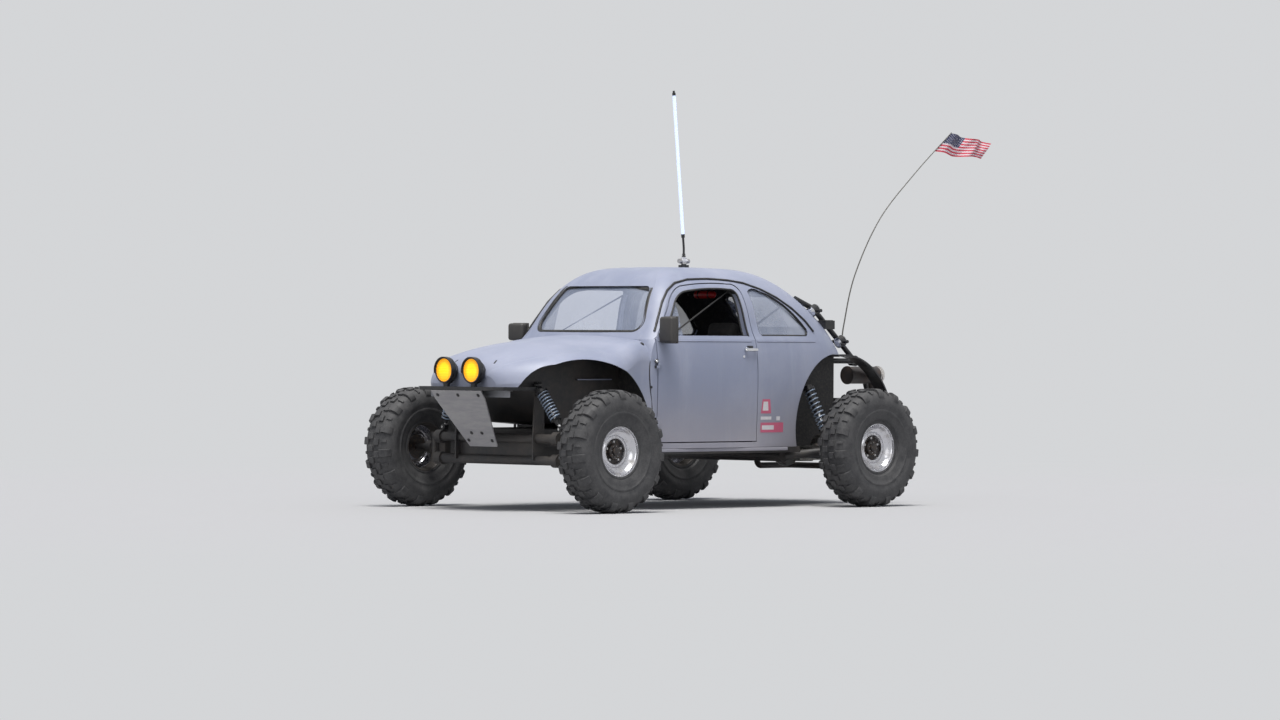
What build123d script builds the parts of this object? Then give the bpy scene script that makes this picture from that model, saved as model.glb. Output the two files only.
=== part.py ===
"""Baja bug: an off-road conversion of a rear-engined beetle-shaped saloon.

X points forward, Y to the car's left and Z up. The ground is z = 0 and the origin lies
midway between the front of the lamp shelf and the loose end of the flag.
"""

import os

from build123d import *

os.makedirs("parts", exist_ok=True)

SIDES = (("left", 1), ("right", -1))

# Chassis layout
WHEELBASE = 2540
FRONT_TRACK = 1960
REAR_TRACK = 1970
TYRE_R = 419
RIM_R = 195
FRONT_TYRE_W = 256
REAR_TYRE_W = 272
SHELF_FRONT = 530
FLAG_END = 4470

# The front axle stands forward of the origin, so that the origin is mid-length
AXLE_X = (FLAG_END - SHELF_FRONT) / 2


def ahead(x):
    """A place given by its distance ahead of the front axle."""
    return AXLE_X + x


REAR_AXLE_X = ahead(-WHEELBASE)
AXLE_Z = TYRE_R

# Body shell
SILL_Z = 425
BELT_Z = 1180
WALL = 45
SEAM = 7.5

# Plan outlines of the body, one a row from the sill up. Columns: height, front middle x,
# front corner x and half width, side's front x and half width, side's bow, half width where
# the tail begins, tail's x, share of the wall by which the inner outline is lower
LOWER_BODY = (
    (SILL_Z, -655, -657, 620, -668, 690, 0.035, 600, -2960, 0.0),
    (760, -655, -657, 625, -668, 694, 0.032, 610, -3060, 0.0),
    (1080, -655, -657, 610, -668, 688, 0.035, 600, -2990, 0.0),
    (BELT_Z, -630, -672, 560, -720, 676, 0.035, 585, -2920, 0.0),
)
UPPER_BODY = (
    (BELT_Z, -630, -672, 560, -720, 676, 0.035, 585, -2920, 0.0),
    (1400, -768, -812, 520, -880, 606, 0.040, 520, -2690, 0.1),
    (1550, -880, -925, 455, -1000, 525, 0.055, 440, -2460, 0.4),
    (1635, -985, -1030, 370, -1105, 430, 0.060, 350, -2260, 0.8),
    (1680, -1130, -1160, 240, -1215, 290, 0.070, 230, -2020, 1.0),
    (1690, -1300, -1315, 110, -1340, 130, 0.080, 110, -1800, 1.0),
)
TAIL_DEPTH = 0.82


def bowed(start, end, bow):
    """An arc that bows to the left of its run by a share of its length."""
    (x1, y1), (x2, y2) = start, end
    middle = ((x1 + x2) / 2 - bow * (y2 - y1), (y1 + y2) / 2 + bow * (x2 - x1))
    return ThreePointArc(start, middle, end)


def plan_outline(row, inset):
    """One plan outline of the body as a face, drawn in by the inset."""
    z, front, corner_x, corner_w, side_x, side_w, bow, tail_w, tail_x, lowered = row
    nose = (ahead(front - inset), 0)
    corner = (ahead(corner_x - inset), corner_w - inset)
    side = (ahead(side_x - inset), side_w - inset)
    turn = (ahead(tail_x + TAIL_DEPTH * tail_w), tail_w - inset)
    tail = (ahead(tail_x + inset), 0)
    with BuildSketch(Plane.XY.offset(z - inset * lowered)) as outline:
        with BuildLine():
            ThreePointArc((corner[0], -corner[1]), nose, corner)
            bowed(corner, side, -0.12)
            bowed(side, turn, -bow)
            ThreePointArc(turn, tail, (turn[0], -turn[1]))
            bowed((turn[0], -turn[1]), (side[0], -side[1]), -bow)
            bowed((side[0], -side[1]), (corner[0], -corner[1]), -0.12)
        make_face()
    return outline.sketch


def body_form(inset):
    """The closed form of the whole body, drawn in by the inset."""
    with BuildPart() as form:
        loft([plan_outline(row, inset) for row in LOWER_BODY])
        loft([plan_outline(row, inset) for row in UPPER_BODY])
    return form.part


def tube(points, radius, bends=0):
    """A round bar along straight runs joined by bends, added to the part being built."""
    with BuildLine() as route:
        if len(points) > 2:
            FilletPolyline(*points, radius=bends)
        else:
            Line(*points)
    with BuildSketch(Plane(origin=route.line @ 0, z_dir=route.line % 0)) as ring:
        Circle(radius)
    sweep(sections=ring.sketch, path=route.line)


def facing_out(x, y, z, side):
    """A plane that looks away from the car's middle at a place on one side."""
    return Plane(origin=(x, side * y, z), x_dir=(1, 0, 0), z_dir=(0, side, 0))


# Doors and side windows, in side view
DOOR_FRONT = -715
DOOR_REAR = -1700
DOOR_SILL_Z = 462
DOOR_TOP_Z = 1578
GLASS_SILL_Z = 1207
REACH = 900


def door_outline(draw_in):
    """The door opening in side view, drawn in by a seam."""
    front = ahead(DOOR_FRONT) - draw_in
    rear = ahead(DOOR_REAR) + draw_in
    top = DOOR_TOP_Z - draw_in
    shoulder = (front - 24, BELT_Z + 22)
    pillar = (ahead(-905) - 1.3 * draw_in, top - 165)
    rail_front = (ahead(-1090) - 0.5 * draw_in, top - 22)
    rail_rear = (rear + 110, top - 4)
    post = (rear + 22, top - 70)
    with BuildSketch(Plane.XZ) as outline:
        with BuildLine():
            Polyline(
                pillar,
                shoulder,
                (front, BELT_Z + 4),
                (front, DOOR_SILL_Z + draw_in),
                (rear, DOOR_SILL_Z + draw_in),
                (rear, BELT_Z),
                post,
            )
            ThreePointArc(post, (rear + 46, top - 22), rail_rear)
            ThreePointArc(rail_rear, (ahead(-1350), top), rail_front)
            ThreePointArc(rail_front, (ahead(-985) - draw_in, top - 75), pillar)
        make_face()
    return outline.sketch


def door_glass_outline():
    """The door's window opening in side view."""
    with BuildSketch(Plane.XZ) as outline:
        with BuildLine():
            Polyline(
                (ahead(-975), DOOR_TOP_Z - 145),
                (ahead(-812), GLASS_SILL_Z),
                (ahead(-1638), GLASS_SILL_Z),
                (ahead(-1620), DOOR_TOP_Z - 90),
            )
            ThreePointArc(
                (ahead(-1620), DOOR_TOP_Z - 90),
                (ahead(-1602), DOOR_TOP_Z - 58),
                (ahead(-1565), DOOR_TOP_Z - 46),
            )
            ThreePointArc(
                (ahead(-1565), DOOR_TOP_Z - 46),
                (ahead(-1330), DOOR_TOP_Z - 42),
                (ahead(-1110), DOOR_TOP_Z - 62),
            )
            ThreePointArc(
                (ahead(-1110), DOOR_TOP_Z - 62),
                (ahead(-1035), DOOR_TOP_Z - 92),
                (ahead(-975), DOOR_TOP_Z - 145),
            )
        make_face()
    return outline.sketch


def quarter_glass_outline():
    """The rear side window in side view."""
    with BuildSketch(Plane.XZ) as outline:
        with BuildLine():
            Polyline(
                (ahead(-1752), 1520),
                (ahead(-1762), GLASS_SILL_Z + 20),
                (ahead(-1790), GLASS_SILL_Z),
                (ahead(-2290), GLASS_SILL_Z),
            )
            ThreePointArc(
                (ahead(-2290), GLASS_SILL_Z),
                (ahead(-2330), GLASS_SILL_Z + 22),
                (ahead(-2318), GLASS_SILL_Z + 60),
            )
            ThreePointArc(
                (ahead(-2318), GLASS_SILL_Z + 60),
                (ahead(-2130), 1435),
                (ahead(-1900), 1528),
            )
            ThreePointArc(
                (ahead(-1900), 1528),
                (ahead(-1825), 1543),
                (ahead(-1752), 1520),
            )
        make_face()
    return outline.sketch


def screen_outline(x, low_z, top_z, low_w, top_w, radius):
    """A front or rear window as seen along the car."""
    with BuildSketch(Plane(origin=(x, 0, 0), x_dir=(0, 1, 0), z_dir=(1, 0, 0))) as outline:
        with BuildLine():
            Polyline((-low_w, low_z), (low_w, low_z), (top_w, top_z), (-top_w, top_z), close=True)
        make_face()
        fillet(outline.vertices(), radius)
    return outline.sketch


# Rear wheel arches, bulkhead and the open tail
ARCH_X = ahead(-2640)
ARCH_Z = 570
ARCH_R = 510
ARCH_WALL_Y = 490
LINER = 20
TAIL_CUT_X = ahead(-2700)
TAIL_CUT_Z = 1060

# Walls between the cabin and the engine. Columns: front x, rear x, low z, top z
ENGINE_WALLS = (
    (-2120, -2140, 380, 620),
    (-2120, -2470, 600, 620),
    (-2450, -2470, 600, 1150),
    (-2450, -3200, 1130, 1150),
)


def rear_arch(radius, inner_y):
    """The room round both rear wheels, from a given place outwards."""
    with BuildPart() as room:
        with BuildSketch(Plane.XZ) as outline:
            with Locations((ARCH_X, ARCH_Z)):
                Circle(radius)
            with Locations((ARCH_X - radius / 2, ARCH_Z / 2)):
                Rectangle(radius, ARCH_Z)
            with Locations((ARCH_X + radius / 2 - 20, ARCH_Z / 2)):
                Rectangle(radius - 42, ARCH_Z)
        extrude(amount=REACH, both=True)
        with Locations((ARCH_X, 0, ARCH_Z)):
            Box(4 * radius, 2 * inner_y, 4 * radius, mode=Mode.SUBTRACT)
    return room.part


outer_form = body_form(0)
inner_form = body_form(WALL)
pane_outside = body_form(16)
pane_inside = body_form(22)
with BuildPart() as pane_skin:
    add(pane_outside)
    add(pane_inside, mode=Mode.SUBTRACT)

FRONT_GLASS = (ahead(-450), 1228, 1552, 545, 425, 62)
REAR_GLASS = (ahead(-2200), 1275, 1500, 415, 330, 70)

# Front inner tub under the bonnet, open at the top
TUB_W = 380
TUB_WALL = 12
with BuildPart() as front_tub:
    with BuildSketch(Plane.XZ):
        with BuildLine():
            Polyline(
                (ahead(-655), 560),
                (ahead(-100), 600),
                (ahead(180), 850),
                (ahead(300), 850),
                (ahead(240), 960),
                (ahead(-300), 1040),
                (ahead(-655), 1040),
                close=True,
            )
        make_face()
    extrude(amount=TUB_W, both=True)
    top_faces = faces().filter_by(lambda face: face.normal_at().Z > 0.5)
    offset(amount=-TUB_WALL, openings=top_faces)
    add(outer_form, mode=Mode.SUBTRACT)
front_tub.part.label = "front_tub"
export_step(front_tub.part, "parts/front_tub.step")

# Cab: roof, pillars, rear quarters, sills, front bulkhead and engine bulkhead in one shell
with BuildPart() as cabin_room:
    add(inner_form)
    for front_x, rear_x, low_z, top_z in ENGINE_WALLS:
        with Locations((ahead((front_x + rear_x) / 2), 0, (low_z + top_z) / 2)):
            Box(front_x - rear_x, 2 * REACH, top_z - low_z, mode=Mode.SUBTRACT)
    add(rear_arch(ARCH_R + LINER, ARCH_WALL_Y - LINER), mode=Mode.SUBTRACT)

# Door hinges: barrels stand proud of the skin on a pin that the cab carries
HINGE_X = ahead(DOOR_FRONT)
HINGE_Y = 712
HINGE_HEIGHTS = (610, 1010)
BARREL_R = 9
BARREL_END = 30
BARREL_SPLIT = 10
LEAF_GAP = 3
PIN_R = 4.5
PIN_PLAY = 0.05

with BuildPart() as cab_shell:
    add(outer_form)
    add(cabin_room.part, mode=Mode.SUBTRACT)
    add(rear_arch(ARCH_R, ARCH_WALL_Y), mode=Mode.SUBTRACT)
    extrude(door_outline(0), amount=REACH, both=True, mode=Mode.SUBTRACT)
    extrude(quarter_glass_outline(), amount=REACH, both=True, mode=Mode.SUBTRACT)
    extrude(screen_outline(*FRONT_GLASS), amount=-800, mode=Mode.SUBTRACT)
    extrude(screen_outline(*REAR_GLASS), amount=-900, mode=Mode.SUBTRACT)
    with Locations((TAIL_CUT_X, 0, TAIL_CUT_Z)):
        Box(1000, 2 * REACH, 1000, align=(Align.MAX, Align.CENTER, Align.MAX), mode=Mode.SUBTRACT)
    with Locations((REAR_AXLE_X, 0, AXLE_Z)):
        Cylinder(80, 2 * (ARCH_WALL_Y + 10), rotation=(90, 0, 0), mode=Mode.SUBTRACT)
    for side_name, side in SIDES:
        for height in HINGE_HEIGHTS:
            with Locations((HINGE_X, side * HINGE_Y, height)):
                Cylinder(PIN_R, 2 * BARREL_END)
            for end in (-1, 1):
                middle = height + end * (BARREL_END + BARREL_SPLIT + 1) / 2
                with Locations((HINGE_X, side * HINGE_Y, middle)):
                    Cylinder(BARREL_R, BARREL_END - BARREL_SPLIT - 1)
                with Locations((HINGE_X + 14, side * (HINGE_Y - 16), middle)):
                    Box(28 - 2 * LEAF_GAP, 44, BARREL_END - BARREL_SPLIT - 1)
cab_shell.part.label = "cab_shell"
export_step(cab_shell.part, "parts/cab_shell.step")

# Doors, each one wall thick with its window opening, hung at the front edge
for side_name, side in SIDES:
    with BuildPart() as door:
        add(outer_form)
        add(inner_form, mode=Mode.SUBTRACT)
        with Locations((0, side * REACH, 0)):
            Box(8000, 1.5 * REACH, 4000, mode=Mode.INTERSECT)
        extrude(door_outline(SEAM), amount=REACH, both=True, mode=Mode.INTERSECT)
        extrude(door_glass_outline(), amount=REACH, both=True, mode=Mode.SUBTRACT)
        for height in HINGE_HEIGHTS:
            with Locations((HINGE_X, side * HINGE_Y, height)):
                Cylinder(BARREL_R, 2 * BARREL_SPLIT)
            with Locations((HINGE_X - 16, side * (HINGE_Y - 16), height)):
                Box(32 - 2 * LEAF_GAP, 44, 2 * BARREL_SPLIT)
            with Locations((HINGE_X, side * HINGE_Y, height)):
                Cylinder(PIN_R + PIN_PLAY, 2 * BARREL_END, mode=Mode.SUBTRACT)
    door.part.label = f"door_{side_name}"
    export_step(door.part, f"parts/door_{side_name}.step")

# Vent panes stay in the doors; the main panes are wound down
VENT_BAR_X = ahead(-1000)
for side_name, side in SIDES:
    with BuildPart() as vent_glass:
        add(pane_skin.part)
        with Locations((0, side * REACH, 0)):
            Box(8000, 1.5 * REACH, 4000, mode=Mode.INTERSECT)
        extrude(door_glass_outline(), amount=REACH, both=True, mode=Mode.INTERSECT)
        with Locations((VENT_BAR_X + 500, 0, 1400)):
            Box(1000, 2 * REACH, 900, mode=Mode.INTERSECT)
    vent_glass.part.label = f"vent_glass_{side_name}"
    export_step(vent_glass.part, f"parts/vent_glass_{side_name}.step")

# Fixed glass
with BuildPart() as screen_block:
    extrude(screen_outline(*FRONT_GLASS), amount=-800)
    extrude(screen_outline(*REAR_GLASS), amount=-900)
    extrude(quarter_glass_outline(), amount=REACH, both=True)

with BuildPart() as fixed_glass:
    add(pane_skin.part)
    add(screen_block.part, mode=Mode.INTERSECT)
fixed_glass.part.label = "fixed_glass"
export_step(fixed_glass.part, "parts/fixed_glass.step")

# One-piece nose, bonnet and front wings. Columns: place ahead of the axle, half width at the
# bottom, half width and height where the side ends, half width and height of the wing's crown,
# height of the middle
CLIP_SECTIONS = (
    (-668, 693, 689, 1030, 560, 1172, 1200),
    (-400, 706, 712, 960, 545, 1130, 1192),
    (-120, 720, 728, 905, 520, 1092, 1164),
    (130, 640, 650, 890, 455, 1062, 1118),
    (300, 500, 515, 880, 330, 1020, 1062),
    (390, 370, 390, 872, 240, 975, 1008),
    (425, 270, 290, 866, 160, 925, 945),
)
CLIP_FLOOR_Z = 430
CLIP_WALL = 14
NOSE_FLOOR_Z = 850


def clip_form(inset):
    """The closed form of the nose, bonnet and wings, drawn in by the inset."""
    with BuildPart() as form:
        sections = []
        for x, foot_w, side_w, side_z, crown_w, crown_z, top_z in CLIP_SECTIONS:
            foot = (foot_w - inset, CLIP_FLOOR_Z - inset)
            side = (side_w - inset, side_z - inset / 2)
            crown = (crown_w - inset / 2, crown_z - inset)
            top = (0, top_z - inset)
            with BuildSketch(Plane(origin=(ahead(x - inset), 0, 0), x_dir=(0, 1, 0), z_dir=(1, 0, 0))) as outline:
                with BuildLine():
                    Line((-foot[0], foot[1]), foot)
                    Line(foot, side)
                    bowed(side, crown, -0.16)
                    ThreePointArc(crown, top, (-crown[0], crown[1]))
                    bowed((-crown[0], crown[1]), (-side[0], side[1]), -0.16)
                    Line((-side[0], side[1]), (-foot[0], foot[1]))
                make_face()
            sections.append(outline.sketch)
        loft(sections)
    return form.part


with BuildPart() as front_clip:
    add(clip_form(0))
    add(clip_form(CLIP_WALL), mode=Mode.SUBTRACT)
    add(outer_form, mode=Mode.SUBTRACT)
    with BuildSketch(Plane.XZ):
        with BuildLine():
            Polyline(
                (ahead(-655), 600),
                (ahead(-655), 300),
                (ahead(900), 300),
                (ahead(900), NOSE_FLOOR_Z),
                (ahead(360), NOSE_FLOOR_Z),
            )
            ThreePointArc((ahead(360), NOSE_FLOOR_Z), (ahead(290), 945), (ahead(140), 1005))
            ThreePointArc((ahead(140), 1005), (ahead(-110), 1040), (ahead(-370), 975))
            ThreePointArc((ahead(-370), 975), (ahead(-575), 820), (ahead(-655), 600))
        make_face()
    extrude(amount=REACH, both=True, mode=Mode.SUBTRACT)
front_clip.part.label = "front_clip"
export_step(front_clip.part, "parts/front_clip.step")

# Floor pan with its tunnel and front frame head, and the rocker rails
PAN_THICK = 24
PAN_TOP_Z = SILL_Z
PAN_W = 640
TUNNEL_W = 170
TUNNEL_H = 150
ROCKER_H = 40
BEAM_X = ahead(130)
with BuildPart() as floor_pan:
    with Locations((ahead(-1400), 0, PAN_TOP_Z - PAN_THICK / 2)):
        Box(1480, 2 * PAN_W, PAN_THICK)
    with Locations((BEAM_X - 40, 0, PAN_TOP_Z - 20)):
        Box(BEAM_X - 40 - ahead(-700), 200, 90, align=(Align.MAX, Align.CENTER, Align.CENTER))
    add(outer_form, mode=Mode.SUBTRACT)
    with BuildSketch(Plane(origin=(ahead(-704), 0, PAN_TOP_Z), x_dir=(0, 1, 0), z_dir=(1, 0, 0))) as tunnel:
        with Locations((0, TUNNEL_H / 2)):
            Rectangle(TUNNEL_W, TUNNEL_H)
        fillet(tunnel.vertices().group_by(Axis.Z)[-1], 50)
    extrude(amount=-1400)
    tube([(ahead(-1060), 0, PAN_TOP_Z + TUNNEL_H - 6), (ahead(-1110), 0, 850)], 7)
    with Locations((ahead(-1110), 0, 856)):
        Sphere(21)
    tube([(ahead(-1420), 0, PAN_TOP_Z + TUNNEL_H - 6), (ahead(-1230), 0, 690)], 12)
    for side_name, side in SIDES:
        with Locations((ahead(-1400), side * (PAN_W + 30), PAN_TOP_Z)):
            Box(1480, 60, ROCKER_H, align=(Align.CENTER, Align.CENTER, Align.MAX))
floor_pan.part.label = "floor_pan"
export_step(floor_pan.part, "parts/floor_pan.step")

# Lamp shelf and sloping skid plate
SHELF_BOTTOM_Z = 826
SHELF_W = 430
SHELF_HOLE_Y = 330
SHELF_HOLE_R = 5.5
with BuildPart() as lamp_shelf:
    with BuildSketch(Plane.XY.offset(SHELF_BOTTOM_Z)):
        with BuildLine():
            Polyline(
                (ahead(SHELF_FRONT), -SHELF_W + 60),
                (ahead(SHELF_FRONT), SHELF_W - 60),
                (ahead(SHELF_FRONT - 45), SHELF_W),
                (ahead(182), SHELF_W),
                (ahead(182), -SHELF_W),
                (ahead(SHELF_FRONT - 45), -SHELF_W),
                close=True,
            )
        make_face()
    extrude(amount=NOSE_FLOOR_Z - SHELF_BOTTOM_Z)
    for side_name, side in SIDES:
        with Locations((ahead(SHELF_FRONT - 60), side * SHELF_HOLE_Y, SHELF_BOTTOM_Z)):
            Cylinder(SHELF_HOLE_R, 120, mode=Mode.SUBTRACT)
lamp_shelf.part.label = "lamp_shelf"
export_step(lamp_shelf.part, "parts/lamp_shelf.step")

SKID_TOP_W = 250
SKID_LOW_W = 138
SKID_LOW_X = ahead(262)
SKID_LOW_Z = 442
SKID_THICK = 8
skid_slope = Vector(SKID_LOW_X - ahead(SHELF_FRONT - 6), 0, SKID_LOW_Z - SHELF_BOTTOM_Z)
with BuildPart() as skid_plate:
    skid_plane = Plane(
        origin=(ahead(SHELF_FRONT - 6), 0, SHELF_BOTTOM_Z),
        x_dir=(0, 1, 0),
        z_dir=Vector(0, 1, 0).cross(skid_slope).normalized(),
    )
    with BuildSketch(skid_plane):
        with BuildLine():
            Polyline(
                (-SKID_TOP_W, 0),
                (-SKID_TOP_W, 70),
                (-SKID_LOW_W, skid_slope.length),
                (SKID_LOW_W, skid_slope.length),
                (SKID_TOP_W, 70),
                (SKID_TOP_W, 0),
                close=True,
            )
        make_face()
    extrude(amount=-SKID_THICK)
skid_plate.part.label = "skid_plate"
export_step(skid_plate.part, "parts/skid_plate.step")

# Driving lamps on the shelf: round housings on stirrups, with the lenses in front
LAMP_Y = 138
LAMP_Z = 962
LAMP_R = 89
LAMP_FACE_X = ahead(515)
STIRRUP_R = LAMP_R + 5
with BuildPart() as lamp_housings:
    for side_name, side in SIDES:
        with BuildSketch(Plane(origin=(0, side * LAMP_Y, 0), x_dir=(1, 0, 0), z_dir=(0, -1, 0))):
            with BuildLine():
                Polyline(
                    (LAMP_FACE_X - 6, LAMP_Z),
                    (LAMP_FACE_X - 6, LAMP_Z + LAMP_R - 8),
                    (LAMP_FACE_X, LAMP_Z + LAMP_R - 8),
                    (LAMP_FACE_X, LAMP_Z + LAMP_R),
                    (LAMP_FACE_X - 34, LAMP_Z + LAMP_R),
                    (LAMP_FACE_X - 60, LAMP_Z + LAMP_R - 24),
                )
                ThreePointArc(
                    (LAMP_FACE_X - 60, LAMP_Z + LAMP_R - 24),
                    (LAMP_FACE_X - 90, LAMP_Z + 48),
                    (LAMP_FACE_X - 102, LAMP_Z + 22),
                )
                Polyline(
                    (LAMP_FACE_X - 102, LAMP_Z + 22),
                    (LAMP_FACE_X - 102, LAMP_Z),
                    (LAMP_FACE_X - 6, LAMP_Z),
                )
            make_face()
        revolve(axis=Axis((0, side * LAMP_Y, LAMP_Z), (1, 0, 0)))
        with Locations((LAMP_FACE_X - 26, side * LAMP_Y, NOSE_FLOOR_Z + 25)):
            Box(24, 40, 50)
        with BuildSketch(Plane(origin=(LAMP_FACE_X - 40, 0, 0), x_dir=(0, 1, 0), z_dir=(1, 0, 0))):
            with Locations((side * LAMP_Y, LAMP_Z)):
                Circle(STIRRUP_R)
                Circle(LAMP_R - 1, mode=Mode.SUBTRACT)
                Rectangle(3 * LAMP_R, 2 * LAMP_R, align=(Align.CENTER, Align.MIN), mode=Mode.SUBTRACT)
        extrude(amount=26)
        with BuildSketch(Plane(origin=(LAMP_FACE_X - 20, 0, 0), x_dir=(0, 1, 0), z_dir=(1, 0, 0))):
            with Locations((side * LAMP_Y, LAMP_Z)):
                Circle(LAMP_R + 3)
                Circle(LAMP_R - 2, mode=Mode.SUBTRACT)
                with Locations((0, -20)):
                    Rectangle(3 * LAMP_R, 2 * LAMP_R, align=(Align.CENTER, Align.MAX), mode=Mode.SUBTRACT)
        extrude(amount=32)
    add(clip_form(0), mode=Mode.SUBTRACT)
lamp_housings.part.label = "lamp_housings"
export_step(lamp_housings.part, "parts/lamp_housings.step")

with BuildPart() as lamp_lenses:
    with Locations(
        *(Plane(origin=(LAMP_FACE_X - 6, side * LAMP_Y, LAMP_Z), z_dir=(1, 0, 0)) for name, side in SIDES)
    ):
        Cylinder(LAMP_R - 8, 5, align=(Align.CENTER, Align.CENTER, Align.MIN))
lamp_lenses.part.label = "lamp_lenses"
export_step(lamp_lenses.part, "parts/lamp_lenses.step")

# Front beam: two cross tubes, end plates, shock towers and a frame head
BEAM_W = 560
BEAM_R = 32
BEAM_Z = (AXLE_Z - 72, AXLE_Z + 78)
TOWER_Y = 390
TOWER_TOP_Z = 885
with BuildPart() as front_beam:
    for z in BEAM_Z:
        tube([(BEAM_X, -BEAM_W, z), (BEAM_X, BEAM_W, z)], BEAM_R)
    with Locations((BEAM_X - 20, 0, (BEAM_Z[0] + BEAM_Z[1]) / 2)):
        Box(40, 2 * TOWER_Y, BEAM_Z[1] - BEAM_Z[0])
    for side_name, side in SIDES:
        with BuildSketch(Plane.XZ.offset(-side * TOWER_Y)):
            with BuildLine():
                Polyline(
                    (BEAM_X + 45, BEAM_Z[0]),
                    (BEAM_X + 45, BEAM_Z[1]),
                    (BEAM_X + 20, TOWER_TOP_Z),
                    (BEAM_X - 60, TOWER_TOP_Z),
                    (BEAM_X - 60, BEAM_Z[1]),
                    (BEAM_X - 45, BEAM_Z[0]),
                    close=True,
                )
            make_face()
        extrude(amount=6, both=True)
front_beam.part.label = "front_beam"
export_step(front_beam.part, "parts/front_beam.step")

# Coil-overs: eye centres ahead of the axle, out from the middle and above the ground
COIL_TOP = (150, TOWER_Y + 28.5, 862)
COIL_FOOT = (95, 590, 563)
COIL_R = 43
COIL_TURNS = 9


def damper(top, foot, side, spring_share):
    """A coil-over: eyes at both ends, a shaft, a body and its spring, on one side."""
    start = Vector(ahead(top[0]), side * top[1], top[2])
    end = Vector(ahead(foot[0]), side * foot[1], foot[2])
    run = end - start
    along = run.normalized()
    for eye in (start, end):
        with Locations(Plane(origin=tuple(eye), z_dir=(1, 0, 0))):
            Cylinder(22, 36)
    with Locations(Plane(origin=tuple(start), z_dir=tuple(along))):
        Cylinder(14, run.length, align=(Align.CENTER, Align.CENTER, Align.MIN))
    with Locations(Plane(origin=tuple(start + along * run.length * 0.13), z_dir=tuple(along))):
        Cylinder(30, run.length * 0.4, align=(Align.CENTER, Align.CENTER, Align.MIN))
    coil_start = start + along * run.length * 0.16
    coil_length = run.length * spring_share
    pitch = coil_length / COIL_TURNS
    across = along.cross(Vector(1, 0, 0)).normalized()
    with BuildSketch(Plane(origin=tuple(coil_start), x_dir=tuple(along), z_dir=tuple(along.cross(across)))) as coil:
        with BuildLine():
            outline = [(0, 0)]
            for turn in range(COIL_TURNS):
                begin = turn * pitch
                outline += [
                    (begin, COIL_R - 9),
                    (begin + pitch * 0.3, COIL_R - 9),
                    (begin + pitch * 0.42, COIL_R),
                    (begin + pitch * 0.72, COIL_R),
                    (begin + pitch * 0.84, COIL_R - 9),
                ]
            outline += [(coil_length, COIL_R - 9), (coil_length, 0)]
            Polyline(*outline, close=True)
        make_face()
    revolve(profiles=coil.sketch, axis=Axis(tuple(coil_start), tuple(along)))


# Trailing arms of the front beam and the carriers that hold the king pins
KINGPIN_Y = 800
CARRIER_Y = 690
PIN_BOSS_R = 30
PIN_BARREL_H = 150
PIN_BOSS_H = 28
with BuildPart() as front_arms:
    for side_name, side in SIDES:
        for z in BEAM_Z:
            with Locations(facing_out(BEAM_X, BEAM_W, z, side)):
                Cylinder(46, 60, align=(Align.CENTER, Align.CENTER, Align.MIN))
            with BuildSketch(Plane.XZ.offset(-side * (BEAM_W + 30))):
                with BuildLine():
                    Polyline(
                        (BEAM_X, z - 30),
                        (BEAM_X, z + 30),
                        (ahead(0) - 24, z + 24 - (z - AXLE_Z) * 0.1),
                        (ahead(0) - 24, z - 24 - (z - AXLE_Z) * 0.1),
                        close=True,
                    )
                make_face()
            extrude(amount=14, both=True)
            with Locations((ahead(0), side * (BEAM_W + 85), z - (z - AXLE_Z) * 0.1)):
                Box(44, 150, 44)
        with Locations((ahead(0), side * CARRIER_Y, AXLE_Z)):
            Box(50, 60, PIN_BARREL_H + 2 * PIN_BOSS_H)
        for end in (1, -1):
            middle_z = AXLE_Z + end * (PIN_BARREL_H + PIN_BOSS_H) / 2
            with Locations((ahead(0), side * (CARRIER_Y + KINGPIN_Y) / 2, middle_z)):
                Box(44, KINGPIN_Y - CARRIER_Y, PIN_BOSS_H)
            with Locations((ahead(0), side * KINGPIN_Y, middle_z)):
                Cylinder(PIN_BOSS_R, PIN_BOSS_H)
front_arms.part.label = "front_arms"
export_step(front_arms.part, "parts/front_arms.step")

# Knuckles: king pin barrel, steering arm and spindle
SPINDLE_R = 22
SPINDLE_END_Y = FRONT_TRACK / 2 + 40
PIN_GAP = 0.3
RUNNING_GAP = 0.05
for side_name, side in SIDES:
    with BuildPart() as knuckle:
        with Locations((ahead(0), side * KINGPIN_Y, AXLE_Z)):
            Cylinder(26, PIN_BARREL_H - 2 * PIN_GAP)
        with Locations(facing_out(ahead(0), KINGPIN_Y, AXLE_Z, side)):
            Cylinder(SPINDLE_R, SPINDLE_END_Y - KINGPIN_Y, align=(Align.CENTER, Align.CENTER, Align.MIN))
            Cylinder(44, 60, align=(Align.CENTER, Align.CENTER, Align.MIN))
        with Locations((ahead(-70), side * KINGPIN_Y, AXLE_Z - 30)):
            Box(140, 24, 20)
    knuckle.part.label = f"knuckle_{side_name}"
    export_step(knuckle.part, f"parts/knuckle_{side_name}.step")

# Wheels. Columns: corner, place ahead of the front axle, track, tyre width, how far in the hub reaches
CORNERS = (
    ("front_left", 1, 0, FRONT_TRACK, FRONT_TYRE_W),
    ("front_right", -1, 0, FRONT_TRACK, FRONT_TYRE_W),
    ("rear_left", 1, -WHEELBASE, REAR_TRACK, REAR_TYRE_W),
    ("rear_right", -1, -WHEELBASE, REAR_TRACK, REAR_TYRE_W),
)
RIM_W = 210
HUB_R = 62


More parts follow.
